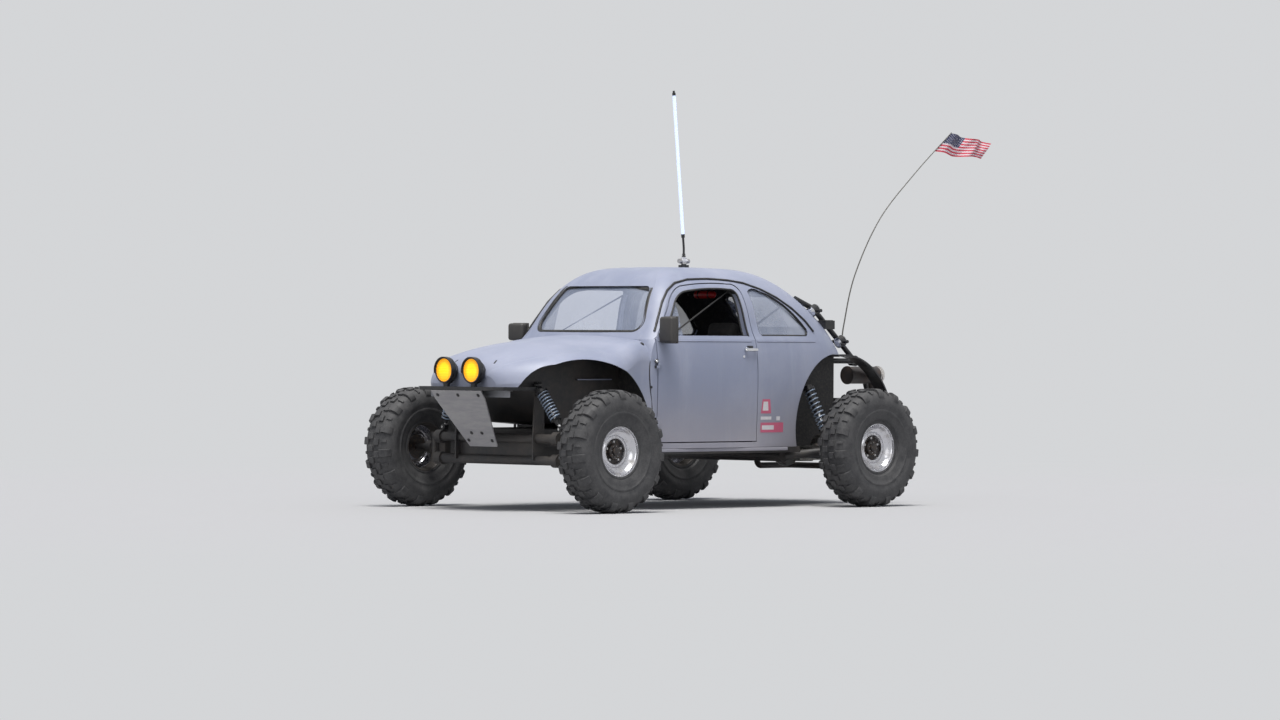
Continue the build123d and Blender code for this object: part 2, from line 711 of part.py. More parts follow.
for corner, side, axle, track, tyre_w in CORNERS:
    spin_axis = Axis((ahead(axle), 0, AXLE_Z), (0, 1, 0))
    edge = RIM_W / 2
    with BuildPart() as rim:
        with BuildSketch(
            Plane(origin=(ahead(axle), side * track / 2, AXLE_Z), x_dir=(0, 1, 0), z_dir=(1, 0, 0))
        ):
            with BuildLine():
                Polyline(
                    (side * -edge, RIM_R + 12),
                    (side * (8 - edge), RIM_R + 12),
                    (side * (12 - edge), RIM_R - 5),
                    (side * -55, RIM_R - 8),
                    (side * -40, RIM_R - 24),
                    (side * 55, RIM_R - 24),
                    (side * 70, RIM_R - 8),
                    (side * (edge - 12), RIM_R - 5),
                    (side * (edge - 8), RIM_R + 12),
                    (side * edge, RIM_R + 12),
                    (side * edge, RIM_R + 2),
                    (side * 84, RIM_R - 16),
                    (side * 66, RIM_R - 32),
                    (side * 40, RIM_R - 34),
                    (side * 24, 110),
                    (side * 44, 86),
                    (side * 68, 80),
                    (side * 74, 20),
                    (side * 74, 0),
                    (side * 50, 0),
                    (side * 50, SPINDLE_R + RUNNING_GAP),
                    (side * -70, SPINDLE_R + RUNNING_GAP),
                    (side * -70, HUB_R),
                    (side * 20, HUB_R + 8),
                    (side * 8, 110),
                    (side * 16, RIM_R - 34),
                    (side * -50, RIM_R - 34),
                    (side * -68, RIM_R - 18),
                    (side * (8 - edge), RIM_R - 14),
                    (side * -edge, RIM_R + 2),
                    close=True,
                )
            make_face()
        revolve(axis=spin_axis)
    rim.part.label = f"rim_{corner}"
    export_step(rim.part, f"parts/rim_{corner}.step")

# Tyres: a flat-faced carcass with a staggered row of lugs on each shoulder. The rim fills the bore.
TYRE_FACETS = 30
LUGS_A_ROW = 15
LUG_L = 62
LUG_THICK = 52
LUG_DEPTH = 13
TREAD_R = TYRE_R - LUG_DEPTH
FLANGE_Y = RIM_W / 2 - 12.5
FLANGE_ROOM_R = RIM_R + 13
# Columns of the carcass, from the bead out: distance in from the tyre's side, radius
CARCASS = ((22, RIM_R + 6), (1, RIM_R + 75), (3, 356), (30, TREAD_R - 4), (76, TREAD_R))


def tyre_ring(y, radius):
    """A flat-faced ring's outline round the wheel's axis."""
    with BuildSketch(Plane(origin=(0, y, AXLE_Z), x_dir=(0, 0, -1), z_dir=(0, 1, 0))) as ring:
        RegularPolygon(radius, TYRE_FACETS, major_radius=False, rotation=180 / TYRE_FACETS)
    return ring.sketch


for axle_name, axle, track, tyre_w in (
    ("front", 0, FRONT_TRACK, FRONT_TYRE_W),
    ("rear", -WHEELBASE, REAR_TRACK, REAR_TYRE_W),
):
    wide = tyre_w / 2
    with BuildPart() as blank:
        loft(
            sections=[tyre_ring(inward - wide, radius) for inward, radius in CARCASS]
            + [tyre_ring(wide - inward, radius) for inward, radius in reversed(CARCASS)],
            ruled=True,
        )
        extrude(tyre_ring(-wide, RIM_R - 4.6), amount=tyre_w, mode=Mode.SUBTRACT)
        extrude(tyre_ring(-wide, FLANGE_ROOM_R), amount=wide - FLANGE_Y, mode=Mode.SUBTRACT)
        extrude(tyre_ring(FLANGE_Y, FLANGE_ROOM_R), amount=wide - FLANGE_Y, mode=Mode.SUBTRACT)
        lugs = []
        for row, side in ((0, 1), (1, -1)):
            for lug in range(LUGS_A_ROW):
                turn = Location((0, 0, AXLE_Z), (0, (lug + row / 2) * 360 / LUGS_A_ROW, 0))
                lugs.append(turn * Location((0, side * (wide - 6 - LUG_L / 2), -TYRE_R)))
        with Locations(*lugs):
            Box(LUG_THICK, LUG_L, 4 * LUG_DEPTH, align=(Align.CENTER, Align.CENTER, Align.MIN))
    for side_name, side in SIDES:
        tyre = Location((ahead(axle), side * track / 2, 0)) * blank.part
        tyre.label = f"tyre_{axle_name}_{side_name}"
        export_step(tyre, f"parts/tyre_{axle_name}_{side_name}.step")

# Rear torsion housing under the pan, with the frame horns that carry the gearbox
TORSION_X = ahead(-2090)
TORSION_R = 40
TORSION_Z = PAN_TOP_Z - PAN_THICK - TORSION_R - 4
TORSION_W = 540
HORN_END_X = ahead(-2720)
with BuildPart() as rear_frame:
    tube([(TORSION_X, -TORSION_W, TORSION_Z), (TORSION_X, TORSION_W, TORSION_Z)], TORSION_R)
    for side_name, side in SIDES:
        with Locations((TORSION_X, side * 420, PAN_TOP_Z - PAN_THICK)):
            Box(70, 90, 40, align=(Align.CENTER, Align.CENTER, Align.MAX))
        tube([(TORSION_X, side * 190, TORSION_Z), (HORN_END_X, side * 230, TORSION_Z)], 28)
        with Locations((HORN_END_X + 30, side * 190, TORSION_Z)):
            Box(60, 60, 56)
rear_frame.part.label = "rear_frame"
export_step(rear_frame.part, "parts/rear_frame.step")

# Rear trailing arms with hub carriers and stub axles
HUB_Y = 800
with BuildPart() as rear_arms:
    for side_name, side in SIDES:
        with Locations(facing_out(TORSION_X, TORSION_W, TORSION_Z, side)):
            Cylinder(43, 44, align=(Align.CENTER, Align.CENTER, Align.MIN))
        tube(
            [(TORSION_X - 30, side * (TORSION_W + 22), TORSION_Z), (REAR_AXLE_X + 40, side * HUB_Y, AXLE_Z - 14)],
            30,
        )
        with Locations(facing_out(REAR_AXLE_X, HUB_Y - 40, AXLE_Z, side)):
            Cylinder(66, 70, align=(Align.CENTER, Align.CENTER, Align.MIN))
            Cylinder(SPINDLE_R, REAR_TRACK / 2 + 40 - HUB_Y + 40, align=(Align.CENTER, Align.CENTER, Align.MIN))
rear_arms.part.label = "rear_arms"
export_step(rear_arms.part, "parts/rear_arms.step")

# Gearbox with its final drive, and the drive shafts
with BuildPart() as transaxle:
    with Locations(Plane(origin=(ahead(-2200), 0, AXLE_Z + 10), z_dir=(-1, 0, 0))):
        Cone(70, 105, 300, align=(Align.CENTER, Align.CENTER, Align.MIN))
    with Locations((REAR_AXLE_X, 0, AXLE_Z + 10)):
        Cylinder(118, 250, rotation=(90, 0, 0))
    with Locations(Plane(origin=(REAR_AXLE_X, 0, AXLE_Z + 10), z_dir=(-1, 0, 0))):
        Cone(60, 165, 170, align=(Align.CENTER, Align.CENTER, Align.MIN))
    for side_name, side in SIDES:
        with Locations(facing_out(REAR_AXLE_X, 125, AXLE_Z + 10, side)):
            Cylinder(50, 60, align=(Align.CENTER, Align.CENTER, Align.MIN))
        with Locations(facing_out(REAR_AXLE_X, 690, AXLE_Z, side)):
            Cylinder(50, HUB_Y - 40.3 - 690, align=(Align.CENTER, Align.CENTER, Align.MIN))
        tube([(REAR_AXLE_X, side * 150, AXLE_Z + 10), (REAR_AXLE_X, side * 720, AXLE_Z)], 15)
transaxle.part.label = "transaxle"
export_step(transaxle.part, "parts/transaxle.step")

# Flat-four engine: case, cylinders and heads, then the fan shroud and air cleaner on top
ENGINE_FRONT_X = REAR_AXLE_X - 170
ENGINE_LENGTH = 380
ENGINE_Z = AXLE_Z + 20
BARREL_X = (ENGINE_FRONT_X - 105, ENGINE_FRONT_X - 265)
FINS = 7
PULLEY_X = ENGINE_FRONT_X - ENGINE_LENGTH
PULLEY_R = 84
with BuildPart() as engine:
    with Locations((ENGINE_FRONT_X - ENGINE_LENGTH / 2, 0, ENGINE_Z)):
        Box(ENGINE_LENGTH, 250, 220)
        Box(ENGINE_LENGTH - 100, 200, 262)
    with Locations((ENGINE_FRONT_X - ENGINE_LENGTH / 2, 0, ENGINE_Z - 130)):
        Cylinder(70, 20)
    for side_name, side in SIDES:
        for x in BARREL_X:
            with Locations(facing_out(x, 120, ENGINE_Z, side)):
                Cylinder(50, 170, align=(Align.CENTER, Align.CENTER, Align.MIN))
            with Locations(*(facing_out(x, 134 + 20 * fin, ENGINE_Z, side) for fin in range(FINS))):
                Cylinder(72, 8, align=(Align.CENTER, Align.CENTER, Align.MIN))
        with Locations((ENGINE_FRONT_X - 185, side * 305, ENGINE_Z)):
            Box(330, 44, 120)
        with Locations(*((ENGINE_FRONT_X - 185, side * 305, ENGINE_Z - 64 + 32 * fin) for fin in range(5))):
            Box(342, 60, 10)
        with Locations((ENGINE_FRONT_X - 185, side * 350, ENGINE_Z)):
            Box(300, 48, 84)
        with Locations((ENGINE_FRONT_X - 185, side * 350, ENGINE_Z)):
            Box(270, 64, 62)
        with Locations((ENGINE_FRONT_X - 60, side * 325, ENGINE_Z - 85)):
            Box(64, 92, 35, align=(Align.CENTER, Align.CENTER, Align.MIN))
    with Locations(Plane(origin=(PULLEY_X, 0, ENGINE_Z), z_dir=(-1, 0, 0))):
        Cylinder(PULLEY_R - 8, 34, align=(Align.CENTER, Align.CENTER, Align.MIN))
        Cylinder(PULLEY_R, 10, align=(Align.CENTER, Align.CENTER, Align.MIN))
    with Locations(Plane(origin=(PULLEY_X - 26, 0, ENGINE_Z), z_dir=(-1, 0, 0))):
        Cylinder(PULLEY_R, 10, align=(Align.CENTER, Align.CENTER, Align.MIN))
        Cylinder(22, 18, align=(Align.CENTER, Align.CENTER, Align.MIN))
engine.part.label = "engine"
export_step(engine.part, "parts/engine.step")

# Fan shroud with the generator, its belt, and a carburettor with an air cleaner over each head
SHROUD_X = ENGINE_FRONT_X - 110
SHROUD_LOW_Z = ENGINE_Z + 120
GENERATOR_Z = SHROUD_LOW_Z + 200
GENERATOR_R = 60
BELT_T = 5
CARBURETTOR_X = ENGINE_FRONT_X - 275
with BuildPart() as fan_shroud:
    with BuildSketch(Plane(origin=(SHROUD_X + 75, 0, 0), x_dir=(0, 1, 0), z_dir=(1, 0, 0))):
        with BuildLine():
            Polyline(
                (-270, SHROUD_LOW_Z),
                (270, SHROUD_LOW_Z),
                (250, SHROUD_LOW_Z + 180),
                (180, SHROUD_LOW_Z + 290),
            )
            ThreePointArc(
                (180, SHROUD_LOW_Z + 290), (0, SHROUD_LOW_Z + 370), (-180, SHROUD_LOW_Z + 290)
            )
            Polyline(
                (-180, SHROUD_LOW_Z + 290), (-250, SHROUD_LOW_Z + 180), (-270, SHROUD_LOW_Z)
            )
        make_face()
    extrude(amount=-150)
    with Locations(Plane(origin=(SHROUD_X - 75, 0, GENERATOR_Z), z_dir=(-1, 0, 0))):
        Cylinder(150, 14, align=(Align.CENTER, Align.CENTER, Align.MIN))
        Cylinder(GENERATOR_R, 205, align=(Align.CENTER, Align.CENTER, Align.MIN))
    with Locations((SHROUD_X - 150, 0, SHROUD_LOW_Z)):
        Box(150, 90, GENERATOR_Z - SHROUD_LOW_Z, align=(Align.CENTER, Align.CENTER, Align.MIN))
    with Locations(Plane(origin=(PULLEY_X - 4, 0, GENERATOR_Z), z_dir=(-1, 0, 0))):
        Cylinder(14, 40, align=(Align.CENTER, Align.CENTER, Align.MIN))
        Cylinder(48, 30, align=(Align.CENTER, Align.CENTER, Align.MIN))
    with BuildSketch(Plane(origin=(PULLEY_X - 11, 0, 0), x_dir=(0, 1, 0), z_dir=(1, 0, 0))) as loop:
        with Locations((0, GENERATOR_Z)):
            Circle(48 + BELT_T)
        with Locations((0, ENGINE_Z)):
            Circle(PULLEY_R - 8 + BELT_T)
        make_hull()
    with BuildSketch(Plane(origin=(PULLEY_X - 11, 0, 0), x_dir=(0, 1, 0), z_dir=(1, 0, 0))) as room:
        with Locations((0, GENERATOR_Z)):
            Circle(48)
        with Locations((0, ENGINE_Z)):
            Circle(PULLEY_R - 8)
        make_hull()
    extrude(loop.sketch - room.sketch, amount=-14)
    for side_name, side in SIDES:
        with Locations((CARBURETTOR_X, side * 262, ENGINE_Z + 69)):
            Cylinder(24, 120, align=(Align.CENTER, Align.CENTER, Align.MIN))
        with Locations((CARBURETTOR_X, side * 262, ENGINE_Z + 150)):
            Box(84, 92, 96, align=(Align.CENTER, Align.CENTER, Align.MIN))
        with Locations((CARBURETTOR_X, side * 262, ENGINE_Z + 240)):
            Cylinder(74, 12, align=(Align.CENTER, Align.CENTER, Align.MIN))
            Cylinder(66, 78, align=(Align.CENTER, Align.CENTER, Align.MIN))
        with Locations((CARBURETTOR_X, side * 262, ENGINE_Z + 310)):
            Cylinder(74, 12, align=(Align.CENTER, Align.CENTER, Align.MIN))
    add(engine.part, mode=Mode.SUBTRACT)
fan_shroud.part.label = "fan_shroud"
export_step(fan_shroud.part, "parts/fan_shroud.step")

# Exhaust: header pipes that sweep up to a canister on the left
CANISTER_Y = 478
CANISTER_Z = 928
CANISTER_R = 62
CANISTER_FRONT_X = ahead(-2850)
CANISTER_LENGTH = 330
HEADER_R = 22
HEADER_Y = 345
HEAD_LOW_Z = ENGINE_Z - 85
PORT_X = ENGINE_FRONT_X - 60
with BuildPart() as exhaust:
    with Locations(Plane(origin=(CANISTER_FRONT_X, CANISTER_Y, CANISTER_Z), z_dir=(-1, 0, 0))):
        Cylinder(CANISTER_R, CANISTER_LENGTH, align=(Align.CENTER, Align.CENTER, Align.MIN))
        Cylinder(CANISTER_R + 4, 12, align=(Align.CENTER, Align.CENTER, Align.MIN))
    with Locations(
        Plane(origin=(CANISTER_FRONT_X - CANISTER_LENGTH, CANISTER_Y, CANISTER_Z), z_dir=(1, 0, 0))
    ):
        Cylinder(CANISTER_R + 4, 16, align=(Align.CENTER, Align.CENTER, Align.MIN))
        Cylinder(34, 40, align=(Align.CENTER, Align.CENTER, Align.MIN), mode=Mode.SUBTRACT)
    tube(
        [
            (PORT_X, HEADER_Y, HEAD_LOW_Z),
            (PORT_X, HEADER_Y, HEAD_LOW_Z - 60),
            (PORT_X - 360, HEADER_Y, HEAD_LOW_Z - 60),
            (PORT_X - 380, CANISTER_Y, HEAD_LOW_Z + 200),
            (CANISTER_FRONT_X - 250, CANISTER_Y, CANISTER_Z - 30),
        ],
        HEADER_R,
        28,
    )
    tube(
        [
            (PORT_X, -HEADER_Y, HEAD_LOW_Z),
            (PORT_X, -HEADER_Y, HEAD_LOW_Z - 92),
            (PORT_X - 340, -HEADER_Y, HEAD_LOW_Z - 92),
            (PORT_X - 340, HEADER_Y, HEAD_LOW_Z - 92),
        ],
        HEADER_R,
        40,
    )
exhaust.part.label = "exhaust"
export_step(exhaust.part, "parts/exhaust.step")

# Rear cage round the engine, and the rack that runs up beside the rear window
CAGE_R = 19
RACK_Y = 422
CHASE_LAMPS = ((-2560, 1392), (-2838, 1170))
with BuildPart() as rear_cage:
    for side_name, side in SIDES:
        tube(
            [
                (ahead(-2470), side * 390, 1030),
                (ahead(-3080), side * 390, 1030),
                (ahead(-3270), side * 350, 620),
                (ahead(-3180), side * 290, 312),
                (HORN_END_X, side * 225, TORSION_Z - 10),
            ],
            CAGE_R,
            60,
        )
        tube(
            [
                (ahead(-3010), side * 395, 1036),
                (ahead(-2600), side * 380, 1405),
                (ahead(-2420), side * 365, 1478),
            ],
            CAGE_R,
            60,
        )
        for x, z in CHASE_LAMPS:
            with Locations(Plane(origin=(ahead(x), side * RACK_Y, z), z_dir=(-1, 0, 0.35))):
                Cylinder(40, 54, align=(Align.CENTER, Align.CENTER, Align.CENTER))
                Cylinder(12, 150, rotation=(90, 0, 0))
        with Locations((ahead(-2688), side * RACK_Y, 1290)):
            Box(96, 84, 62)
    tube([(ahead(-3050), -390, 1030), (ahead(-3050), 390, 1030)], CAGE_R)
    tube([(ahead(-3255), -350, 640), (ahead(-3255), 350, 640)], CAGE_R)
    add(cab_shell.part, mode=Mode.SUBTRACT)
    add(rear_frame.part, mode=Mode.SUBTRACT)
    add(fixed_glass.part, mode=Mode.SUBTRACT)
rear_cage.part.label = "rear_cage"
export_step(rear_cage.part, "parts/rear_cage.step")

# Black wing liners over the rear arches
FLARE_INNER_Y = 545
with BuildPart() as rear_flares:
    for side_name, side in SIDES:
        with BuildSketch(Plane.XZ.offset(-side * FLARE_INNER_Y)):
            with Locations((ARCH_X, ARCH_Z)):
                Circle(ARCH_R - 0.5)
                Circle(ARCH_R - 12.5, mode=Mode.SUBTRACT)
            with BuildLine():
                Polyline(
                    (ARCH_X, ARCH_Z),
                    (ARCH_X + 130, ARCH_Z + 2 * ARCH_R),
                    (ARCH_X - 4 * ARCH_R, ARCH_Z + 2 * ARCH_R),
                    (ARCH_X - 2 * ARCH_R, ARCH_Z + ARCH_R),
                    close=True,
                )
            make_face(mode=Mode.INTERSECT)
        extrude(amount=-side * 110)
rear_flares.part.label = "rear_flares"
export_step(rear_flares.part, "parts/rear_flares.step")

# Coil-overs at all four wheels
SHOCK_TOP = (-2330, 560, 900)
SHOCK_FOOT = (-2405, 738, 447.5)
with BuildPart() as coilovers:
    for side_name, side in SIDES:
        damper(COIL_TOP, COIL_FOOT, side, 0.62)
        damper(SHOCK_TOP, SHOCK_FOOT, side, 0.62)
        with Locations(facing_out(ahead(SHOCK_TOP[0]), ARCH_WALL_Y, SHOCK_TOP[2], side)):
            Cylinder(16, 60, align=(Align.CENTER, Align.CENTER, Align.MIN))
coilovers.part.label = "coilovers"
export_step(coilovers.part, "parts/coilovers.step")

# Interior: seats, dash, steering wheel and roll cage
SEAT_Y = 330
SEAT_W = 460
with BuildPart() as seats:
    for side_name, side in SIDES:
        with BuildSketch(Plane.XZ.offset(-side * SEAT_Y)):
            with BuildLine():
                Polyline(
                    (ahead(-1120), PAN_TOP_Z + 60),
                    (ahead(-1120), PAN_TOP_Z + 250),
                    (ahead(-1560), PAN_TOP_Z + 190),
                    (ahead(-1690), PAN_TOP_Z + 900),
                    (ahead(-1790), PAN_TOP_Z + 880),
                    (ahead(-1690), PAN_TOP_Z + 60),
                    close=True,
                )
            make_face()
        extrude(amount=SEAT_W / 2, both=True)
        with Locations((ahead(-1400), side * SEAT_Y, PAN_TOP_Z)):
            Box(400, 300, 60, align=(Align.CENTER, Align.CENTER, Align.MIN))
seats.part.label = "seats"
export_step(seats.part, "parts/seats.step")

WHEEL_CENTRE = Vector(ahead(-1010), SEAT_Y, 1090)
COLUMN_START = Vector(ahead(-812), SEAT_Y, 1045)
COLUMN_DIRECTION = (WHEEL_CENTRE - COLUMN_START).normalized()
with BuildPart() as dash:
    with BuildSketch(Plane.XZ):
        with BuildLine():
            Polyline(
                (ahead(-700), 1000),
                (ahead(-700), 1160),
                (ahead(-790), 1180),
                (ahead(-800), 1140),
                (ahead(-760), 1000),
                close=True,
            )
        make_face()
    extrude(amount=572, both=True)
    add(inner_form, mode=Mode.INTERSECT)
    with Locations(Plane(origin=tuple(COLUMN_START), z_dir=tuple(COLUMN_DIRECTION))):
        Cylinder(24, 70, align=(Align.CENTER, Align.CENTER, Align.MAX))
dash.part.label = "dash"
export_step(dash.part, "parts/dash.step")

with BuildPart() as steering_wheel:
    with Locations(Plane(origin=tuple(WHEEL_CENTRE), z_dir=tuple(COLUMN_DIRECTION))):
        Torus(165, 14)
        Box(330, 30, 12)
        Cylinder(40, 20)
    with Locations(Plane(origin=tuple(WHEEL_CENTRE), z_dir=tuple(COLUMN_DIRECTION))):
        Cylinder(
            16,
            (WHEEL_CENTRE - COLUMN_START).length - PIN_GAP,
            align=(Align.CENTER, Align.CENTER, Align.MAX),
        )
steering_wheel.part.label = "steering_wheel"
export_step(steering_wheel.part, "parts/steering_wheel.step")

with BuildPart() as roll_cage:
    tube(
        [
            (ahead(-1830), 590, PAN_TOP_Z),
            (ahead(-1830), 590, 1200),
            (ahead(-1830), 395, 1575),
            (ahead(-1830), -395, 1575),
            (ahead(-1830), -590, 1200),
            (ahead(-1830), -590, PAN_TOP_Z),
        ],
        20,
        90,
    )
    add(inner_form, mode=Mode.INTERSECT)
roll_cage.part.label = "roll_cage"
export_step(roll_cage.part, "parts/roll_cage.step")

# Door mirrors and handles
for side_name, side in SIDES:
    with BuildPart() as mirror_arm:
        with Locations((ahead(-800), side * 790, 1290)):
            Box(70, 150, 170)
        tube([(ahead(-800), side * 655, 1185), (ahead(-800), side * 740, 1230)], 11)
        add(outer_form, mode=Mode.SUBTRACT)
    mirror_arm.part.label = f"mirror_{side_name}"
    export_step(mirror_arm.part, f"parts/mirror_{side_name}.step")
    with BuildPart() as handle:
        with Locations((ahead(-1620), side * 722, 1110)):
            Box(120, 16, 22)
        with Locations((ahead(-1575), side * 704, 1110), (ahead(-1665), side * 700, 1110)):
            Box(20, 40, 20)
        add(outer_form, mode=Mode.SUBTRACT)
    handle.part.label = f"handle_{side_name}"
    export_step(handle.part, f"parts/handle_{side_name}.step")

# Lighted whip on the roof
WHIP_LIT = ((ahead(-1650.7), 0, 1926), (ahead(-1554.2), 0, 2915))
with BuildPart() as light_whip:
    with Locations((ahead(-1660), 0, 1686)):
        Cylinder(38, 24, align=(Align.CENTER, Align.CENTER, Align.MIN))
        Cylinder(19, 78, align=(Align.CENTER, Align.CENTER, Align.MIN))
    with Locations((ahead(-1660), 0, 1738)):
        Cylinder(15, 92, rotation=(0, 90, 0))
        Cylinder(22, 18, rotation=(0, 90, 0))
    tube([(ahead(-1660), 0, 1750), (ahead(-1660), 0, 1830), (ahead(-1551), 0, 2947)], 8, 300)
    tube([WHIP_LIT[0], WHIP_LIT[1]], 12)
    add(outer_form, mode=Mode.SUBTRACT)
light_whip.part.label = "light_whip"
export_step(light_whip.part, "parts/light_whip.step")

# Flag whip bowed back by the wind, with its flag
WHIP_Y = 400
with BuildPart() as flag_whip:
    tube(
        [
            (ahead(-2878), WHIP_Y, 1160),
            (ahead(-2900), WHIP_Y, 1300),
            (ahead(-3010), WHIP_Y, 1650),
            (ahead(-3270), WHIP_Y, 2060),
            (ahead(-3640), WHIP_Y, 2400),
            (ahead(-4040), WHIP_Y, 2714),
        ],
        5,
        400,
    )
    add(rear_cage.part, mode=Mode.SUBTRACT)
flag_whip.part.label = "flag_whip"
export_step(flag_whip.part, "parts/flag_whip.step")

with BuildPart() as flag:
    with BuildSketch(Plane.XZ.offset(-WHIP_Y)):
        with BuildLine():
            Polyline(
                (ahead(-3865), 2570),
                (ahead(-4050), 2715),
                (ahead(-FLAG_END), 2660),
                (ahead(-4400), 2530),
                close=True,
            )
        make_face()
    extrude(amount=4, both=True)
flag.part.label = "flag"
export_step(flag.part, "parts/flag.step")
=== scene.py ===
from math import atan, cos, pi, radians, sin, tau

import bmesh
import bpy
from mathutils import Matrix, Vector


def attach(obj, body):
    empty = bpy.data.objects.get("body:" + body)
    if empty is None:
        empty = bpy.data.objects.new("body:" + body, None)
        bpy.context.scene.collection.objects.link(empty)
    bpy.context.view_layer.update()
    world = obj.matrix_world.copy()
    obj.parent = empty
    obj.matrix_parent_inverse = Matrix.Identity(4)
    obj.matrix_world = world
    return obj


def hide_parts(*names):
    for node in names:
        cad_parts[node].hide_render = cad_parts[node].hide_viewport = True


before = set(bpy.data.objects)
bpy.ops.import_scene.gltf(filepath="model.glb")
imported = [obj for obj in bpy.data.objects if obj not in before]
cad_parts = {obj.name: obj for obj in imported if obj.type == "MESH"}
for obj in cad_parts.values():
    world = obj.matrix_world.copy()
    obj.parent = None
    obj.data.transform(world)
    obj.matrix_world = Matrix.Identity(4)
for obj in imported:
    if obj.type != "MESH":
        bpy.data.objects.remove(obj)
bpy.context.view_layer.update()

FRONT_AXLE = 1.970
REAR_AXLE = FRONT_AXLE - 2.540


# Camera: a long lens at eye height, off the car's front left
sight = bpy.data.cameras.new("photo_lens")
sight.sensor_width = 36
sight.lens = 150.62
CAMERA_YAW = 0.8203
CAMERA_AWAY = 36.9926
CAMERA_HEIGHT = 1.1917
look = CAMERA_YAW + pi - 0.02377
forward = Vector((cos(look), sin(look), -0.00419)).normalized()
rightward = forward.cross(Vector((0, 0, 1))).normalized()
upward = rightward.cross(forward)
turned = Matrix((rightward, upward, -forward)).transposed().to_4x4()
camera = bpy.data.objects.new("photo_camera", sight)
bpy.context.scene.collection.objects.link(camera)
camera.matrix_world = (
    Matrix.Translation(
        (
            FRONT_AXLE + CAMERA_AWAY * cos(CAMERA_YAW),
            CAMERA_AWAY * sin(CAMERA_YAW),
            CAMERA_HEIGHT,
        )
    )
    @ turned
    @ Matrix.Rotation(0.0052, 4, "Z")
)
sight.clip_end = 400
bpy.context.scene.camera = camera


# Body paint: matte blue-grey over pressed steel, sanded thin in patches and dusty low down.
# Faces that look down or inward, the arch walls and the scuttle are made near black: painted shade, with some
# underseal.
class Wire:
    """A shader socket; sums and products on it add Math nodes to its tree."""

    def __init__(self, socket):
        self.socket = socket

    def node(self, kind, sockets, out=0, **settings):
        """Adds one node: its settings first, then the values or wires of its sockets."""
        tree = self.socket.id_data
        made = tree.nodes.new("ShaderNode" + kind)
        for name, value in settings.items():
            if name == "stops":
                ramp = made.color_ramp.elements
                while len(ramp) < len(value):
                    ramp.new(0.5)
                for stop, (place, colour) in zip(ramp, value):
                    stop.position = place
                    stop.color = (*colour, 1) if len(colour) == 3 else colour
            else:
                setattr(made, name, value)
        for name, value in sockets.items():
            if isinstance(value, Wire):
                tree.links.new(value.socket, made.inputs[name])
            else:
                made.inputs[name].default_value = value
        return Wire(made.outputs[out])

    def maths(self, operation, *values, clamp=False):
        sockets = {place: value for place, value in enumerate(values)}
        return self.node("Math", sockets, operation=operation, use_clamp=clamp)

    def __add__(self, other):
        return self.maths("ADD", self, other)

    def __sub__(self, other):
        return self.maths("SUBTRACT", self, other)

    def __rsub__(self, other):
        return self.maths("SUBTRACT", other, self)

    def __mul__(self, other):
        return self.maths("MULTIPLY", self, other)

    __radd__ = __add__
    __rmul__ = __mul__

    def blur(self, low, high):
        """A smooth step of this value from 0 at low to 1 at high."""
        sockets = {"Value": self, "From Min": low, "From Max": high}
        return self.node("MapRange", sockets, interpolation_type="SMOOTHSTEP")

    def mixed(self, first, second):
        """Two colours, mixed by this value."""
        sockets = {0: self, 6: first, 7: second}
        return self.node("Mix", sockets, out=2, data_type="RGBA")

    def cloud(self, scale, detail=4, rough=0.6, stretch=None):
        """Noise on this vector, in features to the metre."""
        vector = self
        if stretch:
            vector = self.node("Mapping", {"Vector": self, "Scale": stretch})
        sockets = {"Vector": vector, "Scale": scale, "Detail": detail, "Roughness": rough}
        return vector.node("TexNoise", sockets)


def finish(name):
    """A new material, its shader, the place on the piece, and the height above ground."""
    material = bpy.data.materials.new(name)
    material.use_nodes = True
    shader = material.node_tree.nodes["Principled BSDF"]
    place = Wire(material.node_tree.nodes.new("ShaderNodeTexCoord").outputs["Object"])
    height = place.node("SeparateXYZ", {0: place}, out=2)
    return material, shader, place, height


def plug(shader, **values):
    """Sets sockets on a shader; a Wire is linked and a number or colour is written."""
    for name, value in values.items():
        socket = shader.inputs[name.replace("_", " ").title().replace("Ior", "IOR")]
        if isinstance(value, Wire):
            shader.id_data.links.new(value.socket, socket)
        else:
            socket.default_value = value


def bumped(height, strength, distance=0.001):
    return height.node("Bump", {"Height": height, "Strength": strength, "Distance": distance})


def coat(material, *names):
    """Gives CAD nodes this material."""
    for name in names:
        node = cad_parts[name]
        node.data.materials.clear()
        node.data.materials.append(material)


DUST = (0.33, 0.262, 0.19, 1)
paint, shader, place, height = finish("worn_matte_paint")
mottle = place.cloud(2.1, 5, 0.55).blur(0.35, 0.68)
streaks = place.cloud(6.0, 6, 0.7, (1, 1, 0.12)).blur(0.45, 0.75)
grit = place.cloud(55, 4, 0.75).blur(0.42, 0.75)
low_down = 1 - height.blur(0.45, 0.95)
sanded = mottle.mixed((0.232, 0.258, 0.350, 1), (0.285, 0.312, 0.412, 1))
streaked = (streaks * 0.35).mixed(sanded, (0.37, 0.39, 0.47, 1))
dust = low_down * 0.30 + grit * 0.08 + mottle * 0.06
normal = Wire(place.socket.node.outputs["Normal"])
across = place.node("SeparateXYZ", {0: place}, out=1)
along = place.node("SeparateXYZ", {0: place}, out=0)
# Painted shade with underseal: faces turned inward or down, the rear arch walls and the scuttle face are picked out
# here
facing_out = across * normal.node("SeparateXYZ", {0: normal}, out=1)
inner_side = 1 - facing_out.blur(-0.03, -0.012)
underside = 1 - normal.node("SeparateXYZ", {0: normal}, out=2).blur(-0.45, -0.3)
arch_wall = across.maths("ABSOLUTE", across).maths("LESS_THAN", across.maths("ABSOLUTE", across), 0.499)
arch_wall = arch_wall * (along.maths("LESS_THAN", along, -0.08) * height.maths("LESS_THAN", height, 1.075))
scuttle = normal.node("SeparateXYZ", {0: normal}, out=0).blur(0.55, 0.7) * (1 - height.blur(1.02, 1.04))
